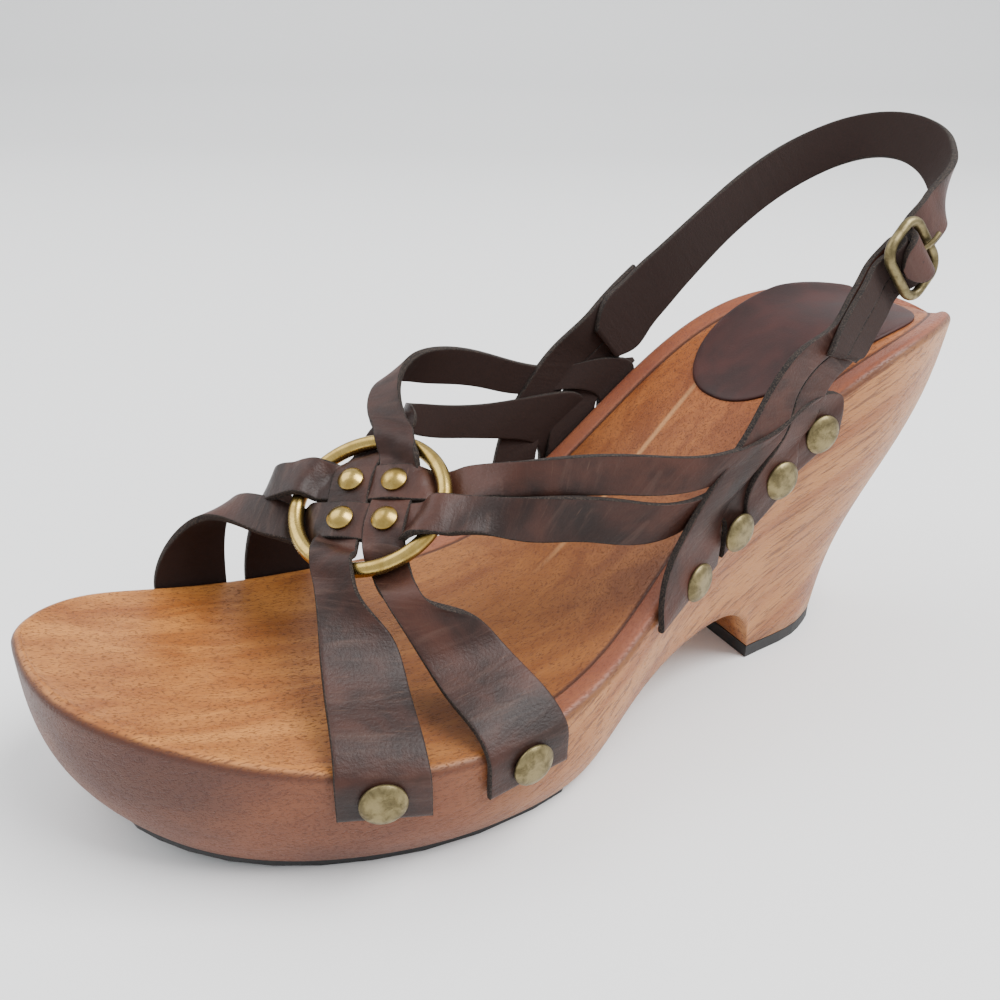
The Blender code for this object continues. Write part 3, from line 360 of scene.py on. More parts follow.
def block_loops(turns):
    """Loops round the block: the dished bed with its groove, both rounded rims, walls and base.

    Across the bed the height is bed_height less a narrow bell-shaped groove a fixed distance in
    from the rim; it fades out towards the toe. Values are the distance in from the rim on the
    bed, and how far down the wall a point stands.
    """
    loops, inward, downward = [], [], []
    for turn in turns:
        base = base_point(turn)
        rims = {side: rim_point(side, turn) for side in ("inner", "outer")}
        lip = {side: rim - out * RIM_RADIUS for side, (rim, out) in rims.items()}
        width = max(np.linalg.norm(lip["outer"] - lip["inner"]), 0.001)
        near = BED_STEPS * min(1.0, width / BED_STEPS_WIDTH)
        middle = np.linspace(near[-1], width - near[-1], BED_MIDDLE_STEPS + 2)[1:-1]
        share = np.concatenate([near, middle, width - near[::-1]]) / width
        bed = lip["inner"] + (lip["outer"] - lip["inner"]) * share[:, None]
        bed[:, 2] = bed_height(turn, share * 2 - 1)
        reach = np.minimum(share, 1 - share) * width
        fade = np.clip((GROOVE_LAST_TURN - turn) / GROOVE_FADE, 0.0, 1.0)
        fade = fade * np.clip(width / GROOVE_LEAST_WIDTH - 1.0, 0.0, 1.0)
        bed[:, 2] -= fade * GROOVE_DEEP * np.exp(-((reach - GROOVE_IN) / GROOVE_WIDE) ** 2)
        sides = {}
        for side in ("outer", "inner"):
            rim, out = rims[side]
            arc = np.linspace(0.0, math.pi / 2, RIM_STEPS + 1)[1:, None]
            pivot = lip[side] - UP * RIM_RADIUS
            curve = pivot + RIM_RADIUS * (np.sin(arc) * out + np.cos(arc) * UP)
            deep = np.linspace(0.0, 1.0, WALL_STEPS + 1)[1:]
            start = rim - UP * RIM_RADIUS
            part = wall_share(turn, deep)[:, None]
            level = start[:2] + (base[side][:2] - start[:2]) * part
            height = start[2] + (base[side][2] - start[2]) * deep
            wall = np.concatenate([level, height[:, None]], axis=1)
            sides[side] = np.concatenate([curve, wall])
        zero = np.zeros(len(sides["outer"]))
        drop = {side: rims[side][0][2] - sides[side][:, 2] for side in sides}
        mid = (base["outer"] + base["inner"]) / 2
        half = (base["outer"] - base["inner"]) / 2
        under = np.array([mid + half * share for share in UNDER_SHARES])
        loops.append(np.concatenate([bed, sides["outer"], under, sides["inner"][::-1]]))
        inward.append(np.concatenate([reach, zero, np.zeros(len(under)), zero]))
        downward.append(np.concatenate([np.zeros(len(bed)), drop["outer"],
                                        np.full(len(under), UNDER_DROP), drop["inner"][::-1]]))
    return np.array(loops), np.array(inward), np.array(downward)


wood, shader, mm = new_material("waxed_wood")
inward = reading(mm, "inward")
downward = reading(mm, "downward")
figure = mm.stretch(0.016, 0.11, 0.11).noise(1.0, 5.0, 0.62, 0.9)
cloud = mm.stretch(0.012, 0.03, 0.03).noise(1.0, 3.0, 0.55)
fibre = mm.stretch(0.09, 1.5, 1.5).noise(1.0, 3.0, 0.6)
pores = mm.stretch(0.42, 1.4, 1.4).noise(1.9, 2.0, 0.55).step(0.54, 0.64)
slant = mm.node("ShaderNodeVectorRotate", {"Vector": mm, "Angle": -0.42}, rotation_type="Y_AXIS")
dashes = slant.stretch(0.065, 0.5, 0.80).noise(1.5, 3.0, 0.62).step(0.51, 0.62)
streaks = slant.stretch(0.010, 0.05, 0.10).noise(1.0, 3.0, 0.6).step(0.42, 0.66)
lengthways = mm.node("ShaderNodeSeparateXYZ", {0: mm})
sideways = mm.node("ShaderNodeSeparateXYZ", {0: mm}, out=1)
top = 1.0 - downward.step(0.2, 1.2)
heelward = 1.0 - lengthways.step(-60.0, 45.0)
toeward = lengthways.step(8.0, 58.0)
bed_colour = figure.step(0.25, 0.75).blend((0.25, 0.075, 0.014), (0.50, 0.200, 0.045))
bed_colour = (heelward * 0.85).blend(bed_colour, figure.step(0.3, 0.7).blend(
    (0.20, 0.048, 0.012), (0.38, 0.115, 0.028)))
midway = lengthways.step(-70.0, -10.0) * (1.0 - lengthways.step(45.0, 75.0))
streak = (sideways - lengthways * 0.20 + 7.0) * 0.9
vein = (1.0 - streak.maths("ABSOLUTE", streak).step(0.2, 1.2)) * lengthways.step(-64.0, -44.0)
vein = vein * (1.0 - lengthways.step(-12.0, 8.0))
waist = 1.0 - lengthways.step(20.0, 50.0)
# Painted light: the strip between the rim and the groove is tinted the way a bevel there looks
# under the light.
bevel_light_band = (1.0 - inward.step(3.9, 4.5)) * waist
# groove: painted shade, a dark line laid along the shallow carved groove where shade gathers
groove = (inward.step(3.8, 4.4) - inward.step(4.8, 5.6)) * waist
for mask, tone in (((1.0 - fibre.step(0.35, 0.6)) * 0.22, (0.16, 0.05, 0.02)),
                   (pores * 0.62, (0.070, 0.020, 0.008)),
                   (midway * 0.5, (0.13, 0.042, 0.014)),
                   (vein * 0.5, (0.62, 0.33, 0.14)),
                   (bevel_light_band * 0.6, (0.24, 0.075, 0.048)),
                   (groove * 0.85, (0.045, 0.013, 0.008))):
    bed_colour = mask.blend(bed_colour, tone)
wall_light = streaks.blend((0.42, 0.180, 0.060), (0.28, 0.094, 0.028))
wall_light = (dashes * 0.72).blend(wall_light, (0.120, 0.038, 0.014))
wall_toe = cloud.step(0.35, 0.65).blend((0.070, 0.020, 0.012), (0.175, 0.052, 0.020))
wall_toe = (pores * 0.3).blend(wall_toe, (0.045, 0.017, 0.013))
wall = (toeward * 0.95).blend(wall_light, wall_toe)
wood_colour = top.blend(wall, bed_colour)
# Painted shade: a dark line over the rounded rim, where the top turns down into the wall.
rim_edge_shade = (downward.step(0.15, 0.6) - downward.step(1.2, 2.6)) * 0.6
wood_colour = rim_edge_shade.blend(wood_colour, (0.065, 0.022, 0.013))
connect(shader, base_color=wood_colour, roughness=0.40 + pores * 0.15 + figure * 0.08,
        specular_ior_level=0.32, coat_weight=0.04, coat_roughness=0.3)
raised(0.5 - pores * 0.5 - dashes * (1.0 - top) * 0.4 + fibre * 0.15, shader, 0.16, 0.9)

spans = ((0.0, 6.0, 7), (6.0, 50.0, 50), (50.0, 74.0, 49), (74.0, 174.0, 110), (174.0, 180.0, 8))
turns = np.unique(np.concatenate([np.linspace(*span) for span in spans]))
loops, inside, down = block_loops(turns)
finished(piece("wood_block", loops, grid_faces(*loops.shape[:2], closed=True), wood,
               ["sole_wood"], {"inward": inside, "downward": down}))


# Rubber under the ball and the heel
# Two thin plates of black rubber glued to the underside of the block.

rubber, shader, mm = new_material("black_rubber")
grain = mm.noise(1.6, 4.0, 0.6)
connect(shader, base_color=grain.blend((0.010, 0.010, 0.011), (0.030, 0.029, 0.029)),
        roughness=0.72)
raised(grain, shader, 0.08)
for name in ("outsole_forefoot", "heel_toplift"):
    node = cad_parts[name]
    node.data.materials.clear()
    node.data.materials.append(rubber)


# Heel pad
# Thin oval of dark waxed leather glued on the heel seat, its edge pressed flat into the wood.

PAD_THICK = 1.3
PAD_CENTRE = (-83.0, -4.0)
PAD_HALF = (31.5, 23.0)
PAD_SQUARE = 2.3
PAD_SHARES = (0.001, 0.15, 0.3, 0.45, 0.6, 0.72, 0.82, 0.9, 0.95, 0.975, 0.99, 0.998, 1.0)
PAD_EDGE = 0.05
PAD_FOOT = 0.05
PAD_SIDES = 128


def bed_at(x, y):
    """Height of the footbed over a point of the floor plan."""
    turn = turn_of(x)
    rows = at_turn(RIM_ROWS, turn)
    middle = (rows[..., 0] + rows[..., 1]) / 2
    half = (rows[..., 0] - rows[..., 1]) / 2 - RIM_RADIUS
    return bed_height(turn, np.clip((y - middle) / half, -1, 1))


def pad_surface():
    """Oval rings: x and y follow a slightly squared ellipse, z the dished seat plus a low dome
    that falls off along a quarter circle at the edge."""
    angle = np.linspace(0.0, 2 * math.pi, PAD_SIDES + 1)[:-1]
    cos, sin = np.cos(angle), np.sin(angle)
    flat_x = np.sign(cos) * np.abs(cos) ** (2 / PAD_SQUARE)
    flat_y = np.sign(sin) * np.abs(sin) ** (2 / PAD_SQUARE)
    loops = []
    for share in (*PAD_SHARES, PAD_SHARES[-1]):
        x = PAD_CENTRE[0] + PAD_HALF[0] * share * flat_x
        y = PAD_CENTRE[1] + PAD_HALF[1] * share * flat_y
        edge = np.sqrt(1.0 - np.clip((share - 1.0 + PAD_EDGE) / PAD_EDGE, 0.0, 1.0) ** 2)
        lift = 0.15 + PAD_THICK * (0.3 + 0.45 * edge) if len(loops) < len(PAD_SHARES) else PAD_FOOT
        loops.append(np.stack([x, y, bed_at(x, y) + lift], axis=1))
    return np.array(loops)


pad_leather, shader, mm = new_material("pad_leather")
mottle = mm.noise(0.055, 3.0, 0.6, 0.5)
fine = mm.noise(2.4, 3.0, 0.6)
pad_colour = mottle.step(0.3, 0.7).blend((0.026, 0.011, 0.010), (0.058, 0.018, 0.015))
pad_colour = (fine.step(0.64, 0.74) * 0.25).blend(pad_colour, (0.16, 0.10, 0.09))
connect(shader, base_color=pad_colour, roughness=0.42 + mottle * 0.18, specular_ior_level=0.3)
raised(fine, shader, 0.08, 0.7)
capped_piece("pad_disc", pad_surface(), pad_leather, "heel_pad")


# Straps and quarters
# Thick oiled leather, cut square with dark raw edges. Four straps are woven through the ring
# and nailed to the block; each quarter ends in two fingers that are woven with the straps.

LEATHER = 1.8
FIT_GAP = 0.35
WRAP_GAP = 0.55
FUSE = 0.15
STRAP_DEPTH = 10.0
RING_RADIUS = 18.0
RING_WIRE = 1.8
DOME_RADIUS = 3.1
DOME_HEIGHT = 1.9
WEAVE_PITCH = 10.8
WEAVE_WIDTH = 10.0
RING_CENTRE = (48.1, -3.1, 62.2)
RING_LEAN = 30.7
RING_LEAN_TURN = 37.5
WEAVE_TURN = 55.0
LEG_START = 23.5
STRANDS = (
    # name, runs (1 to the inner rear, 2 to the outer rear), side of the middle, way
    ("a1", 1, -1, 1),
    ("b1", 1, 1, -1),
    ("a2", 2, 1, 1),
    ("b2", 2, -1, -1),
)
LEGS = {
    # strand and end: side, front x, rear x, fall, veer, front edge points, rear edge points
    ("a1", -1): ("outer", 76.0, 57.6, 40.0, 3.3, ((69.7, 20.7, 43.3), (72.9, 33.0, 37.0)),
                 ((54.5, 22.6, 43.8), (54.6, 32.7, 36.0))),
    ("b1", -1): ("outer", 45.6, 25.8, 40.0, 7.3, ((49.4, 31.0, 37.8), (48.0, 39.3, 34.2)),
                 ((36.6, 28.8, 46.2), (32.4, 31.9, 40.8), (29.6, 38.8, 36.8))),
    ("a2", -1): ("inner", 71.0, 53.0, 80.0, 0.0, ((68.5, -31.0, 51.0),), ((59.0, -35.0, 55.0),)),
    ("b2", -1): ("inner", 94.0, 76.0, 80.0, 1.5, ((81.7, -30.0, 53.4),), ((72.0, -32.0, 56.0),)),
    ("a1", 1): ("inner", -18.0, -34.0, 84.0, 6.0,
                ((26.3, -32.0, 65.5), (-1.0, -37.5, 56.7)),
                ((25.9, -31.0, 73.5), (-1.8, -38.5, 66.5))),
    ("b1", 1): ("inner", -37.0, -49.0, 84.0, -5.5,
                ((34.0, -33.0, 79.0), (21.0, -38.0, 76.5), (2.8, -39.5, 72.0),
                 (-16.0, -38.8, 66.8)),
                ((28.2, -29.0, 83.6), (17.6, -35.5, 85.7), (-1.9, -39.0, 80.7),
                 (-30.0, -38.2, 74.0))),
    ("a2", 1): ("outer", -46.8, -63.0, 66.0, 1.0,
                ((20.3, 18.5, 67.2), (-0.3, 28.0, 67.3), (-26.3, 32.5, 68.6)),
                ((19.1, 16.0, 74.8), (-0.9, 26.0, 76.5), (-38.6, 33.5, 78.0))),
    ("b2", 1): ("outer", -28.0, -45.6, 66.0, 1.5,
                ((20.0, 23.0, 57.9), (8.8, 28.2, 57.6), (-7.9, 32.2, 56.0)),
                ((21.2, 20.0, 68.0), (0.8, 29.0, 67.0), (-22.4, 33.0, 65.8))),
}
SPLITS = {
    "outer": ((-31.3, 32.6, 78.0), (-43.5, 32.8, 77.4), (-53.6, 31.2, 77.0)),
    "inner": ((-23.0, -38.6, 81.0), (-34.0, -38.6, 76.0), (-48.0, -37.4, 72.5)),
}
FINGERS = (
    # name, side, half of the split, front x, rear x, fall
    ("outer_front", "outer", 0, -5.0, -26.0, 72.0),
    ("outer_rear", "outer", 1, -33.0, -48.8, 72.0),
    ("inner_front", "inner", 0, 0.0, -15.0, 84.0),
    ("inner_rear", "inner", 1, -19.5, -35.6, 84.0),
)
CROSSINGS = (
    ("a2", "outer_front"),
    ("outer_front", "b2"),
    ("b1", "inner_front"),
    ("inner_rear", "b1"),
    ("inner_front", "a1"),
)
RIM_LAYERS = {("a1", 1): 1, "outer_rear": 1}
SHORT_EDGES = {("outer_front", 0): 4.0}
BUCKLE_CENTRE = (-84.7, 25.5, 112.2)
BUCKLE_WAY = (-0.75, -0.16, 0.64)
BUCKLE_OUT = (0.0, 1.0, 0.08)
BUCKLE_HALF_LONG = 6.5
BUCKLE_HALF_WIDE = 8.4
BUCKLE_CORNER = 4.2
BUCKLE_WIRE = 1.3
BAR_RADIUS = 1.0
BAR_ALONG = -0.8
BAR_DROP = -2.0
HOLE_RADIUS = 0.9
OUTER_QUARTER = (
    # front edge x, y, z, rear edge x, y, z
    (-37.0, 31.6, 86.0, -55.5, 31.4, 83.0),
    (-46.0, 30.6, 95.5, -61.0, 30.0, 87.5),
)
TAB_WIDTH = 12.4
TAB_END = ((-54.4, 32.2, 93.8), (-65.2, 31.6, 90.7))
SLING_ROWS = (
    # x, y, z, width, lean
    (-38.0, -36.0, 79.5, 21.0, 6.0),
    (-49.0, -38.0, 89.0, 18.5, 4.0),
    (-62.0, -39.0, 99.0, 16.0, 2.0),
    (-78.0, -40.0, 110.5, 14.0, 2.0),
    (-93.0, -39.0, 120.8, 13.0, 4.0),
    (-106.0, -34.5, 128.8, 12.5, 8.0),
    (-115.2, -26.0, 134.0, 12.4, 12.0),
    (-119.0, -14.0, 135.5, 12.4, 16.0),
    (-117.8, -2.0, 133.2, 12.4, 18.0),
    (-112.3, 7.2, 129.4, 12.4, 14.0),
    (-104.2, 15.2, 124.8, 12.4, 8.0),
    (-98.0, 19.0, 121.5, 12.4, 2.0),
)
SLING_END = (
    # distance back from the buckle's middle, height over its plane
    (10.4, -2.9), (7.4, -3.25), (5.0, -2.5), (3.8, -0.8), (2.6, 1.2), (0.9, 2.6), (-1.2, 2.7),
    (-3.2, 1.9), (-4.8, 0.8),
)
SLING_TWIST = 12.0
TIP_LENGTH = 6.0
SLING_STEPS = 22
SLING_END_STEPS = 12
LAP_ROWS = 4
SLING_ROOT_SHARE = 0.55
LIFT_REACH = 12.8
ROOT_FADE = 6.0
WRAP_ROWS = 4
QUARTER_SHARE = np.linspace(0.0, 1.0, 7)[:, None]
SLING_HOLES = (17, 19, 30)
FINE_PITCH = 0.7
EDGE_ROUND = 0.38
SHARP_ANGLE = math.radians(55.0)
ACROSS_FINE = np.concatenate([[-1.0, -0.985, -0.95, -0.88], np.linspace(-0.75, 0.75, 13),
                              [0.88, 0.95, 0.985, 1.0]])
STRAND_ACROSS = np.linspace(-1.0, 1.0, 4)
STRAND_STEPS = np.concatenate([np.linspace(-LEG_START, -9.6, 7), np.linspace(-7.0, 7.0, 6),
                               np.linspace(9.6, LEG_START, 7)])
LEG_STEPS = 9
FINGER_STEPS = 5
VEER_FROM = 7.0
WEAVE_RISE = LEATHER / 2 - FUSE
RING_RISE = RING_WIRE + LEATHER / 2 + FIT_GAP + 0.2
LEG_RISE = 1.2
WIRE_INNER_REACH = 3.3
WIRE_OUTER_REACH = 3.9


def distances(path):
    """Distance gone at each point of a path."""
    return np.concatenate([[0.0], np.cumsum(np.linalg.norm(np.diff(path, axis=0), axis=1))])


def normals(grid):
    """Unit normals of a grid of points."""
    return unit(np.cross(np.gradient(grid, axis=0), np.gradient(grid, axis=1)))


def ring_frame():
    """Middle of the ring, the ways of the two pairs of strands, and the plane's normal."""
    lean = math.radians(RING_LEAN)
    turn = math.radians(RING_LEAN_TURN)
    normal = np.array([math.sin(lean) * math.cos(turn), math.sin(lean) * math.sin(turn),
                       math.cos(lean)])
    rearward = unit(np.array([-1.0, 0, 0]) + normal * normal[0])
    inward = unit(np.cross(rearward, normal)) * -1.0
    heading = math.radians(WEAVE_TURN)
    first = rearward * math.cos(heading) + inward * math.sin(heading)
    second = np.cross(first, normal)
    return np.array(RING_CENTRE), first, second, normal


def strand_rise(along, aside, way):
    """Height of a strand over the ring's plane, at a distance along it and aside of the middle.

    It waves over one partner and under the other, and crosses the wire on the opposite side:
    way * (rise * sin(pi * along / pitch) - sign(along) * hump round the wire).
    """
    wave = np.where(np.abs(along) < WEAVE_PITCH, np.sin(math.pi * along / WEAVE_PITCH), 0.0)
    wire = np.sqrt(RING_RADIUS ** 2 - aside ** 2)
    beyond = (np.abs(along) - wire) * wire / RING_RADIUS
    inner = np.exp(-(np.abs(np.minimum(beyond, 0)) / WIRE_INNER_REACH) ** 3.6)
    outer = np.exp(-(np.maximum(beyond, 0) / WIRE_OUTER_REACH) ** 2.8)
    hump = np.where(beyond < 0, RING_RISE * inner, LEG_RISE + (RING_RISE - LEG_RISE) * outer)
    return way * (WEAVE_RISE * wave - np.sign(along) * hump)


def strand_grid(name, run, aside, way):
    """Middle surface of a strand where it passes through the ring."""
    centre, first, second, normal = ring_frame()
    along_way, aside_way = (first, second) if run == 1 else (second, first)
    along = STRAND_STEPS[:, None]
    veer = np.where(along < 0, LEGS[name, -1][4], LEGS[name, 1][4])
    off = aside * WEAVE_PITCH / 2 + STRAND_ACROSS[None, :] * WEAVE_WIDTH / 2
    rise = strand_rise(along, off, way)
    gone = np.clip(np.abs(along) - VEER_FROM, 0.0, None) / (LEG_START - VEER_FROM)
    off = off + veer * gone ** 2
    return (centre + along[..., None] * along_way + off[..., None] * aside_way
            + rise[..., None] * normal)


def rim_wrap(side, station, fall, layer, depth):
    """Points of a strap edge that bends over the rim at a station and runs down the wall."""
    rim, outward = rim_point(side, turn_of(station))
    reach = RIM_RADIUS + WRAP_GAP + LEATHER / 2 + layer * (LEATHER - FUSE)
    pivot = rim - (outward + UP) * RIM_RADIUS
    points = [pivot + reach * (outward * math.sin(angle) + UP * math.cos(angle))
              for angle in np.radians(np.linspace(fall, 90.0, 3 if fall < 60.0 else 2))]
    brow = points[-1]
    return np.array(points + [brow - UP * (depth - RIM_RADIUS) * share for share in (0.5, 1.0)])


def leg_edge(before, start, vias, wrap, steps):
    """One edge of a leg: a smooth curve through its points to the rim, then over it and down."""
    tail = rim_wrap(*wrap)
    path = np.array([before, start, *vias, tail[0], tail[1]])
    gone = distances(path)
    reading = np.linspace(gone[1], gone[-2], steps + 1)[1:]
    return np.concatenate([spline(gone, path, reading), tail[1:]])


def between(edge_a, edge_b):
    """Grid of points between two edges, edge_a at the first column and edge_b at the last."""
    share = (STRAND_ACROSS[None, :, None] + 1) / 2
    return edge_a[:, None] + (edge_b - edge_a)[:, None] * share


def leg_grid(root, name, end):
    """Leg that carries on from the last rows of a strand: root holds them, the last one last."""
    side, front, rear, fall, _, vias_front, vias_rear = LEGS[name, end]
    edges = []
    for col, station, vias in ((0, front, vias_front), (-1, rear, vias_rear)):
        wrap = (side, station, fall, RIM_LAYERS.get((name, end), 0), STRAP_DEPTH)
        edges.append(leg_edge(root[0, col], root[1, col], vias, wrap, LEG_STEPS))
    return between(*edges)


def finger_grid(root, name, side, front, rear, fall):
    """Finger of a quarter: root holds two rows of the quarter, the split row last."""
    edges = []
    for col, station in ((0, front), (-1, rear)):
        depth = SHORT_EDGES.get((name, col), STRAP_DEPTH)
        wrap = (side, station, fall, RIM_LAYERS.get(name, 0), depth)
        edges.append(leg_edge(root[0, col], root[1, col], [], wrap, FINGER_STEPS))
    return np.concatenate([root[1:2], between(*edges)])


def outward_normal(grid, side):
    """Unit normals of a strip, turned away from the foot."""
    normal = normals(grid)
    away = np.array([0.0, 1.0 if side == "outer" else -1.0, 0.8])
    turned = np.sign((normal * away).sum(axis=(0, 1)).sum())
    return normal * turned


def raise_over(over, under, side):
    """Lift one strip where it crosses another, and lower the other, so that they only touch."""
    middle = [grid[:, 1:3].mean(axis=1) for grid in (over, under)]
    apart = np.linalg.norm(middle[0][:, None] - middle[1][None], axis=-1)
    row_over, row_under = np.unravel_index(apart.argmin(), apart.shape)
    normal = outward_normal(over, side)[row_over, 1:3].mean(axis=0)
    gap = (middle[0][row_over] - middle[1][row_under]) @ normal
    wanted = LEATHER - FUSE - gap
    for grid, row, share, line in ((over, row_over, 0.5, middle[0]),
                                   (under, row_under, -0.5, middle[1])):
        gone = distances(line)
        away = np.abs(gone - gone[row])
        weight = np.exp(-(away / LIFT_REACH) ** 4) * np.clip(gone / ROOT_FADE, 0.0, 1.0)
        weight = weight * np.clip((gone[-WRAP_ROWS] - gone) / ROOT_FADE, 0.0, 1.0)
        grid += outward_normal(grid, side) * (wanted * share * weight)[:, None, None]


def buckle_axes():
    """Way of the strap at the buckle, way across it towards the toe, and way outwards."""
    along = unit(BUCKLE_WAY)
    out = unit(np.array(BUCKLE_OUT) - along * np.dot(BUCKLE_OUT, along))
    return along, np.cross(out, along), out


def buckle_point(along, across, out):
    """Point at distances along, across and out of the middle of the buckle's window."""
    axes = buckle_axes()
    return np.array(BUCKLE_CENTRE) + along * axes[0] + across * axes[1] + out * axes[2]


def tab_path():
    """Middle of the tab seen from its edge: inner layer, fold round the bar, outer layer."""
    inner = [(-26.0, -2.6), (-19.0, -3.6), (-12.5, -4.55), (-7.4, -5.25), (-3.2, -4.75)]
    turn = np.radians(np.linspace(-90.0, 90.0, 7))
    reach = BAR_RADIUS + FIT_GAP + LEATHER / 2
    fold = [(BAR_ALONG + reach * math.cos(angle), BAR_DROP + reach * math.sin(angle))
            for angle in turn]
    outer = [(-3.1, -0.4), (-5.2, -2.4), (-7.8, -3.1), (-12.5, -2.35), (-19.0, -1.45),
             (-26.0, -0.45)]
    return inner + fold + outer


def split_row(side):
    """First row of a quarter, bent at its middle, where its two fingers part."""
    front, middle, rear = np.array(SPLITS[side])
    share = QUARTER_SHARE[::2]
    return np.concatenate([front + (middle - front) * share,
                           (middle + (rear - middle) * share)[1:]])


def outer_quarter_rows():
    """Rows of the outer quarter and tab, seven points across, from the split line up."""
    ends = [(row[:3], row[3:]) for row in OUTER_QUARTER]
    ends += [[buckle_point(along, half * TAB_WIDTH, out) for half in (0.5, -0.5)]
             for along, out in tab_path()]
    ends = np.array([*ends, TAB_END])[:, :, None]
    return np.array([split_row("outer"), *(ends[:, 0] + (ends[:, 1] - ends[:, 0]) * QUARTER_SHARE)])


def sling_grid():
    """Middle surface of the sling strap, four columns from its lower to its upper edge."""
    table = np.array(SLING_ROWS)
    rows = np.array([*table[:, :3], *(buckle_point(along, 0.0, rise) for along, rise in SLING_END)])
    gone = distances(rows)
    bend = gone[len(table) - 1]
    reading = np.concatenate([np.linspace(0.0, bend, SLING_STEPS)[:-1],
                              np.linspace(bend, gone[-1], SLING_END_STEPS)])
    centre = spline(gone, rows, reading)
    width = np.interp(reading, gone[:len(table)], table[:, 3])
    lean = np.interp(reading, gone[:len(table)], table[:, 4])
    heading = unit(np.gradient(centre, axis=0))
    rise = unit(UP - heading * (heading @ UP)[:, None])
    outward = np.cross(heading, rise)
    angle = np.radians(lean)[:, None]
    rise = rise * np.cos(angle) - outward * np.sin(angle)
    blend = np.clip((reading - bend) / SLING_TWIST + 1.0, 0.0, 1.0)[:, None]
    rise = unit(rise * (1 - blend) + buckle_axes()[1] * blend)
    left = gone[-1] - reading
    tip = np.sqrt(np.clip(1 - (1 - np.minimum(left / TIP_LENGTH, 1)) ** 2, 0.06, 1))
    half = (width / 2 * tip)[:, None, None]
    return centre[:, None] + rise[:, None] * half * STRAND_ACROSS[None, :, None]


def inner_quarter_rows():
    """Rows of the inner quarter from the split line up along the outside of the sling strap."""
    sling = sling_grid()[:LAP_ROWS + 1]
    lap = (sling + outward_normal(sling, "inner") * (LEATHER + FIT_GAP))[:LAP_ROWS]
    last = lap[:, -1:]
    return np.array([split_row("inner"), *(last + (lap[:, :1] - last) * QUARTER_SHARE)])


def refined(grid):
    """Smooth surface through a coarse grid: splines along its rows, then across its columns."""
    gone = distances(grid.mean(axis=1))
    where = np.linspace(0.0, gone[-1], int(gone[-1] / FINE_PITCH) + 2)
    rows = spline(gone, grid, where)
    keys = np.linspace(-1.0, 1.0, grid.shape[1])
    fine = spline(keys, np.moveaxis(rows, 1, 0), ACROSS_FINE)
    return np.moveaxis(fine, 0, 1), where


def facing(grid, spot, out):
    """The grid with its columns turned round where its normal at a spot looks away from out."""
    nearest = np.unravel_index(np.linalg.norm(grid - spot, axis=-1).argmin(), grid.shape[:2])
    return grid if normals(grid)[nearest] @ np.asarray(out) > 0 else grid[:, ::-1]


def leather_skin(grid, gone):
    """Strap of even thickness about a surface, with its cut edges slightly rounded.

    A loop runs over the outer face, down one cut edge, back along the flesh face and up the
    other edge. Near an edge the half thickness follows a quarter circle down to a flat cut.
    Values: distance along and across in mm, and face: 1 on the outer face, -1 on the flesh
    face, and nearer 0 by the cut edges.
    """
    cols = grid.shape[1]
    normal = normals(grid)
    wide = np.linalg.norm(grid[:, -1] - grid[:, 0], axis=1)
    near = (1 - np.abs(ACROSS_FINE))[None, :] * wide[:, None] / 2
    ends = np.minimum(gone, gone[-1] - gone)[:, None]
    short = 1 - np.clip(np.minimum(near, ends) / EDGE_ROUND, 0, 1)
    half = (LEATHER / 2 - EDGE_ROUND * (1 - np.sqrt(1 - short ** 2)))[..., None]
    outer = grid + normal * half
    flesh = grid - normal * half
    loop = np.concatenate([outer, flesh[:, ::-1]], axis=1)
    across = ACROSS_FINE[None, :] * wide[:, None] / 2
    face = np.where(near < EDGE_ROUND * 0.9, 0.25, 1.0)
    values = {"along": np.repeat(gone[:, None], 2 * cols, axis=1),
              "across": np.concatenate([across, across[:, ::-1]], axis=1),
              "face": np.concatenate([face, -face[:, ::-1]], axis=1)}
    return loop, values


def strap_mesh(name, parts, material, nodes):
    """One mesh from loops of leather, each closed by flat ends."""
    points, faces, values = [], [], {"along": [], "across": [], "face": []}
    start = 0
    for loop, own in parts:
        rows, ring = loop.shape[:2]
        points.append(loop.reshape(-1, 3))
        faces += grid_faces(rows, ring, closed=True, start=start)
        half = ring // 2
        for base, way in ((start, 1), (start + (rows - 1) * ring, -1)):
            for col in range(half - 1):
                back = base + ring - 1 - col
                faces.append([base + col, base + col + 1, back - 1, back][::way])
        for key, series in own.items():
            values[key].append(np.ravel(series))
        start += rows * ring
    values = {key: np.concatenate(series) for key, series in values.items()}
    thing = piece(name, np.concatenate(points), faces, material, nodes, values)
    finished(thing, merge=False)
    thing.data.set_sharp_from_angle(angle=SHARP_ANGLE)


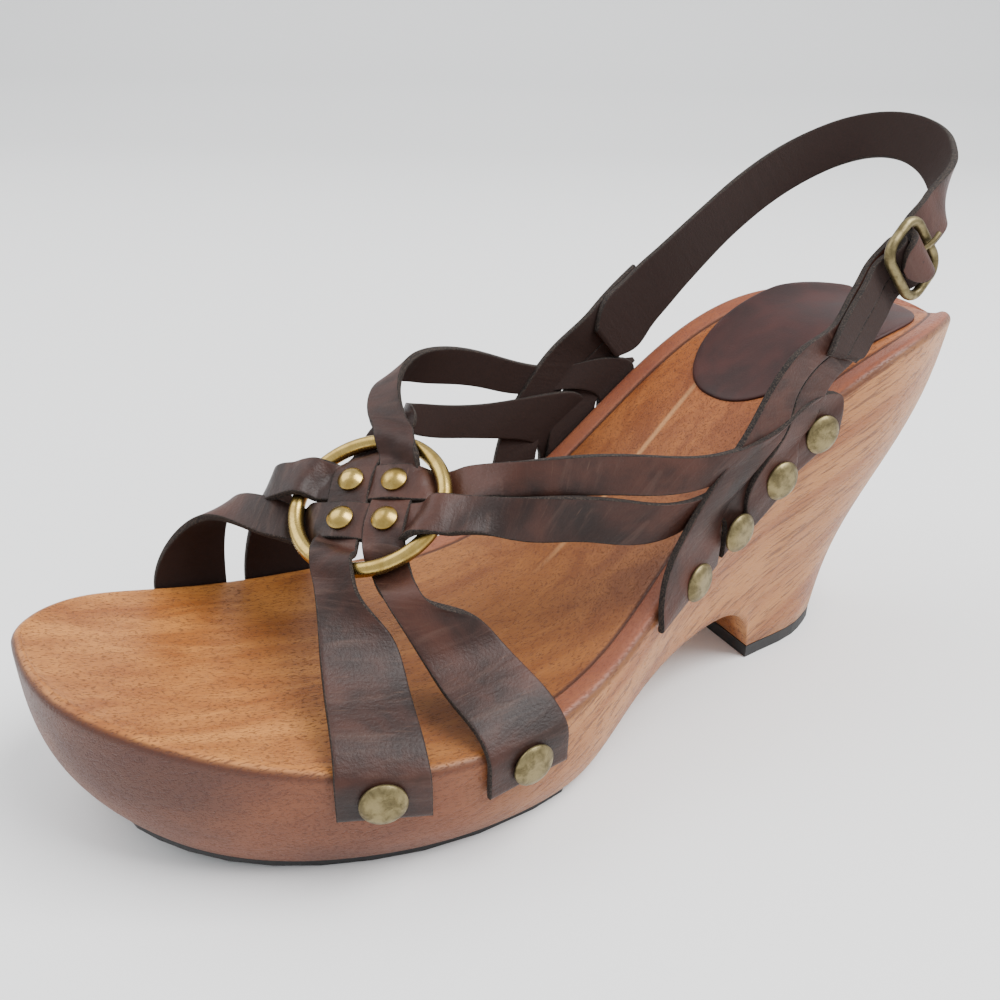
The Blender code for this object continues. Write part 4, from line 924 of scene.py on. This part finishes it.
def leather_material(name, holes=()):
    """Oiled leather: dark blotches with warm and worn places outside, raw dark edges and flesh
    side. Around each hole, given as a drawing point, a small disc is painted black: painted
    shade for a hole that is not cut."""
    material, shader, mm = new_material(name)
    along = reading(mm, "along")
    across = reading(mm, "across")
    face = reading(mm, "face")
    spot = mm.noise(0.040, 4.0, 0.6, 0.5)
    grain = mm.noise(1.5, 4.0, 0.6)
    creased = mm.node("ShaderNodeCombineXYZ", {0: along * 0.30, 1: across * 0.05})
    crease = creased.noise(1.0, 4.0, 0.65, 0.8)
    scratched = mm.node("ShaderNodeCombineXYZ", {0: along * 1.1, 1: across * 0.09})
    marks = scratched.noise(1.0, 2.0, 0.5).step(0.68, 0.78)
    skin = spot.step(0.32, 0.66).blend((0.014, 0.0060, 0.0045), (0.060, 0.0200, 0.0125))
    skin = (crease.step(0.50, 0.80) * 0.42).blend(skin, (0.098, 0.052, 0.038))
    skin = (marks * 0.3).blend(skin, (0.16, 0.085, 0.055))
    flesh = grain.blend((0.012, 0.006, 0.005), (0.034, 0.016, 0.012))
    cut_noise = mm.noise(3.2, 3.0, 0.7)
    cut = cut_noise.step(0.4, 0.75).blend((0.008, 0.006, 0.006), (0.080, 0.056, 0.042))
    upper_side = face.step(0.3, 0.5)
    under_side = 1.0 - face.step(-0.5, -0.3)
    whole = under_side.blend(upper_side.blend(cut, skin), flesh)
    # Painted shade: each hole is a black disc on the surface, not a cut.
    for hole in holes:
        spread = mm.maths("DISTANCE", mm, tuple(place(hole) / MM))
        inside = 1.0 - spread.step(HOLE_RADIUS - 0.1, HOLE_RADIUS + 0.1)
        whole = inside.blend(whole, (0.0015, 0.001, 0.001))
    connect(shader, base_color=whole, specular_ior_level=0.30,
            roughness=0.36 + grain * 0.2 + (1.0 - upper_side) * 0.35)
    raised(grain * 0.6 + crease * 0.9 + cut_noise * (1.0 - upper_side) * 0.6, shader, 0.25, 0.8)
    return material


leather = leather_material("oiled_leather")
strands = {name: strand_grid(name, run, aside, way) for name, run, aside, way in STRANDS}
legs = {}
for name, middle in strands.items():
    legs[name, -1] = leg_grid(middle[1::-1], name, -1)
    legs[name, 1] = leg_grid(middle[-2:], name, 1)
quarters = {"outer": outer_quarter_rows(), "inner": inner_quarter_rows()}
halves = (slice(0, 4), slice(3, 7))
fingers = {}
for name, side, half, front, rear, fall in FINGERS:
    fingers[name] = finger_grid(quarters[side][1::-1, halves[half]], name, side, front, rear, fall)
for over, under in CROSSINGS:
    grids = [fingers[name] if name in fingers else legs[name, 1] for name in (over, under)]
    raise_over(grids[0], grids[1], "outer" if "outer" in over + under else "inner")

parts = []
for name, middle in strands.items():
    whole = np.concatenate([legs[name, -1][::-1], middle, legs[name, 1]])
    parts.append(leather_skin(*refined(facing(whole, RING_CENTRE, ring_frame()[3]))))
for name, side, half, *_ in FINGERS:
    whole = np.concatenate([quarters[side][::-1, halves[half]], fingers[name][1:]])
    away = (0.0, 1.0 if side == "outer" else -1.0, 0.0)
    parts.append(leather_skin(*refined(facing(whole, SPLITS[side][1], away))))
strap_mesh("leather_straps", parts, leather, ["upper_straps"])


# Sling strap
# The same leather, running from the inner quarter round the heel and through the buckle.

grid = sling_grid()
root = grid[0].mean(axis=0)
grid[0] = root + (grid[0] - root) * SLING_ROOT_SHARE
middle = grid[:, 1:3].mean(axis=1)
# Points of the buckle holes; the material paints each one as a black disc of shade.
holes = [middle[row] for row in SLING_HOLES]
hole_shaded_leather = leather_material("leather_with_painted_hole_shade", holes)
turned = facing(grid, SLING_ROWS[7][:3], (-1.0, 0.0, 0.0))
strap_mesh("leather_sling", [leather_skin(*refined(turned))], hole_shaded_leather,
           ["sling_strap"])


# Ring over the toes
# Plain ring of thick brass wire, polished where the leather rubs it.

RING_STEPS = 144
RING_SIDES = 28


def circle(first, second, sides):
    """Ways of length one round a circle that starts at first and goes by second."""
    turn = np.linspace(0.0, 2 * math.pi, sides + 1)[:-1, None]
    return first[..., None, :] * np.cos(turn) + second[..., None, :] * np.sin(turn)


def brass_material(name, deep, light, rough, mottled):
    """Brass that goes from a light metal tone to a darker film in small blotches."""
    material, shader, mm = new_material(name)
    blotch = mm.noise(0.35 if mottled else 0.16, 4.0, 0.65, 0.4)
    speck = mm.noise(2.8, 3.0, 0.6)
    mixed = (blotch.step(0.38, 0.66) * 0.75 + speck.step(0.5, 0.75) * 0.25)
    connect(shader, base_color=mixed.blend(light, deep), metallic=0.92 if mottled else 1.0,
            roughness=rough + mixed * 0.14)
    raised(speck, shader, 0.05 if mottled else 0.02, 0.6)
    return material


bright = brass_material("bright_brass", (0.26, 0.165, 0.040), (0.52, 0.37, 0.115),
                        0.24, False)
aged = brass_material("aged_brass", (0.085, 0.066, 0.030), (0.23, 0.185, 0.090),
                      0.40, True)
centre, first, second, normal = ring_frame()
out = circle(first, second, RING_STEPS)
out = np.concatenate([out, out[:1]])
loops = (centre + RING_RADIUS * out)[:, None] + RING_WIRE * circle(out, normal, RING_SIDES)
finished(piece("brass_ring", loops, grid_faces(*loops.shape[:2], closed=True), bright,
               ["ring"]))


# Rivets and studs
# Small domed brass rivets hold the weave; wide low studs of aged brass nail the straps down.

NAIL_DEPTH = 4.8
STUD_RADIUS = 4.95
STUD_HEIGHT = 1.5
STUD_POWER = 5.0
RIVET_POWER = 2.2
BUTTON_SIDES = 48
SKIRT_SHARE = 0.30
STUDS = (
    # side, x, layers, gap
    ("outer", 67.2, 1, 0.5),
    ("outer", 35.5, 1, 0.25),
    ("outer", -18.0, 1, 0.5),
    ("outer", -30.5, 2, 0.5),
    ("outer", -44.0, 2, 0.5),
    ("outer", -57.0, 1, 0.5),
    ("inner", 85.0, 1, 0.5),
    ("inner", 62.0, 1, 0.5),
    ("inner", -8.0, 1, 0.5),
    ("inner", -24.0, 2, 0.5),
    ("inner", -33.0, 2, 0.5),
    ("inner", -44.0, 1, 0.5),
)


def button(centre, out, radius, height, power):
    """Turned head: its height falls from the middle to the rim as 1 - r ** power, down to a
    short skirt."""
    side_way = unit(np.cross(out, UP))
    share = np.sin(np.linspace(0.0, math.pi / 2, 13))
    share[0] = 0.004
    rise = height * (SKIRT_SHARE + (1.0 - SKIRT_SHARE) * (1 - share ** power))
    share = np.concatenate([share, [1.0, 1.0]])
    rise = np.concatenate([rise, [height * 0.12, 0.0]])
    ways = circle(side_way, np.cross(side_way, out), BUTTON_SIDES)
    return centre + rise[:, None, None] * out + radius * share[:, None, None] * ways


base = WEAVE_RISE + LEATHER / 2 + 0.02
for index, (one, two) in enumerate(((1, -1), (1, 1), (-1, -1), (-1, 1)), 1):
    spot = centre + (first * one + second * two) * WEAVE_PITCH / 2 + normal * base
    head = button(spot, normal, DOME_RADIUS, DOME_HEIGHT + 0.2, RIVET_POWER)
    capped_piece(f"rivet_head_{index}", head, bright, f"rivet_{index}")
for index, (side, station, layers, gap) in enumerate(STUDS, 1):
    rim, out = rim_point(side, turn_of(station))
    lift = WRAP_GAP + LEATHER + (layers - 1) * (LEATHER - FUSE) + 0.05
    head = button(rim + out * lift - UP * NAIL_DEPTH, out, STUD_RADIUS,
                  STUD_HEIGHT + gap * 0.6, STUD_POWER)
    capped_piece(f"stud_head_{index:02d}", head, aged, f"stud_{index:02d}")


# Buckle
# Cast frame of aged brass with a lower cross bar, and a bent wire prong hinged on the bar.

BUCKLE_SIDES = 20
CORNER_STEPS = 14
BAR_STEPS = 25
PRONG_RADIUS = 0.65
PRONG_STEPS = 60
PRONG_SIDES = 14
PRONG_ARM = (
    # distance from the buckle's middle, height over its plane
    (0.9, 0.1), (2.4, 0.75), (3.9, 1.5), (5.4, 2.2), (6.9, 2.5), (8.6, 2.4),
)


def wire_loops(path, radius, sides, level):
    """Loops of round wire about an open path; level is a way that is never along the path."""
    ahead = np.roll(path, -1, axis=0) - np.roll(path, 1, axis=0)
    ahead[0], ahead[-1] = path[1] - path[0], path[-1] - path[-2]
    ahead = unit(ahead)
    side_way = unit(np.cross(ahead, level))
    return path[:, None] + radius * circle(side_way, np.cross(side_way, ahead), sides)


def frame_path():
    """Middle of the frame's wire: a quarter circle at each corner of the window."""
    path = []
    long, wide = BUCKLE_HALF_LONG - BUCKLE_CORNER, BUCKLE_HALF_WIDE - BUCKLE_CORNER
    for corner, (sign_a, sign_c) in enumerate(((1, 1), (-1, 1), (-1, -1), (1, -1))):
        for bend in np.radians(90.0 * corner + np.linspace(0.0, 90.0, CORNER_STEPS)):
            path.append(buckle_point(sign_a * long + BUCKLE_CORNER * math.cos(bend),
                                     sign_c * wide + BUCKLE_CORNER * math.sin(bend), 0.0))
    return np.array(path)


def prong_path():
    """Middle of the prong: a loop round the bar, then out over the frame."""
    reach = BAR_RADIUS + FIT_GAP + PRONG_RADIUS
    loop = [(BAR_ALONG + reach * math.cos(turn), BAR_DROP + reach * math.sin(turn))
            for turn in np.radians(np.linspace(385.0, 100.0, 12))]
    return np.array([buckle_point(along, 0.0, rise) for along, rise in [*loop, *PRONG_ARM]])


path = frame_path()
ahead = unit(np.roll(path, -1, axis=0) - np.roll(path, 1, axis=0))
along_way, across_way, out_way = buckle_axes()
level = unit(np.cross(ahead, out_way))
loops = path[:, None] + BUCKLE_WIRE * circle(level, out_way, BUCKLE_SIDES)
loops = np.concatenate([loops, loops[:1]])
bar = np.array([buckle_point(BAR_ALONG, BUCKLE_HALF_WIDE * side, BAR_DROP * (1 - abs(side) ** 6))
                for side in np.linspace(-1.0, 1.0, BAR_STEPS)])
bar_loops = wire_loops(bar, BAR_RADIUS, BUCKLE_SIDES, along_way)
points = np.concatenate([loops.reshape(-1, 3), bar_loops.reshape(-1, 3)])
faces = grid_faces(len(loops), BUCKLE_SIDES, closed=True)
faces += grid_faces(BAR_STEPS, BUCKLE_SIDES, closed=True, start=len(loops) * BUCKLE_SIDES)
finished(piece("buckle_wire", points, faces, aged, ["buckle_frame"]))

prong = prong_path()
gone = distances(prong)
prong = spline(gone, prong, np.linspace(0.0, gone[-1], PRONG_STEPS))
capped_piece("prong_wire", wire_loops(prong, PRONG_RADIUS, PRONG_SIDES, across_way), aged,
             "buckle_prong")


# Floor, light and camera
# Plain pale sheet that curves up far behind, and broad soft light from above.
# The camera stands where the photo was taken from.

FLOOR_HALF_WIDE = 3.0
FLOOR_PROFILE = (
    # metres towards the camera, metres up
    (2.0, 0.0), (-1.2, 0.0), (-1.6, 0.06), (-1.9, 0.25), (-2.1, 0.6), (-2.15, 3.0),
)
VIEW_SPOT = (115.64, 185.21, 162.30)
VIEW_YAW = math.radians(240.85)
VIEW_PITCH = math.radians(-27.05)
VIEW_ROLL = math.radians(1.16)
FOCAL_PIXELS = 953.5
PICTURE_PIXELS = 1000.0
SENSOR_WIDTH = 36.0

floor_material, shader, mm = new_material("pale_floor")
connect(shader, base_color=(0.92, 0.92, 0.915, 1.0), roughness=0.5)
ahead = np.array([math.cos(VIEW_YAW), math.sin(VIEW_YAW)])
aside = np.array([-ahead[1], ahead[0]])
corners = [[*(-ahead * depth + aside * span), rise]
           for depth, rise in FLOOR_PROFILE for span in (-FLOOR_HALF_WIDE, FLOOR_HALF_WIDE)]
floor_mesh = bpy.data.meshes.new("studio_floor")
floor_mesh.from_pydata(corners, [], grid_faces(len(FLOOR_PROFILE), 2))
floor_mesh.shade_smooth()
floor_mesh.materials.append(floor_material)
linked("studio_floor", floor_mesh)


def soft_light(name, spot, target, size, power):
    """Square area light that looks at a point."""
    data = bpy.data.lights.new(name, "AREA")
    data.size = size
    data.energy = power
    lamp = linked(name, data)
    lamp.location = spot
    lamp.rotation_mode = "QUATERNION"
    lamp.rotation_quaternion = (Vector(spot) - Vector(target)).to_track_quat("Z", "Y")


soft_light("window_light", (-0.6, 0.5, 1.3), (0.0, 0.0, 0.05), 1.0, 34.0)
soft_light("room_light", (0.8, -0.7, 1.1), (0.0, 0.0, 0.05), 1.4, 14.0)
world = bpy.data.worlds.new("studio")
bpy.context.scene.world = world
world.use_nodes = True
background = world.node_tree.nodes["Background"]
background.inputs["Color"].default_value = (0.93, 0.95, 0.98, 1.0)
background.inputs["Strength"].default_value = 1.0

ahead = np.array([*(ahead * math.cos(VIEW_PITCH)), math.sin(VIEW_PITCH)])
right = unit(np.array([ahead[1], -ahead[0], 0.0]))
above = np.cross(right, ahead)
right, above = (right * math.cos(VIEW_ROLL) + above * math.sin(VIEW_ROLL),
                above * math.cos(VIEW_ROLL) - right * math.sin(VIEW_ROLL))
lens_data = bpy.data.cameras.new("photo_view")
lens_data.sensor_width = SENSOR_WIDTH
lens_data.lens = SENSOR_WIDTH * FOCAL_PIXELS / PICTURE_PIXELS
lens_data.shift_x = -0.0107
lens_data.shift_y = 0.0084
lens_data.clip_start = 0.01
lens_data.clip_end = 20.0
camera = linked("photo_view", lens_data)
camera.matrix_world = Matrix(np.stack([right, above, -ahead], axis=1)).to_4x4()
camera.location = Vector(place(VIEW_SPOT))
bpy.context.scene.camera = camera
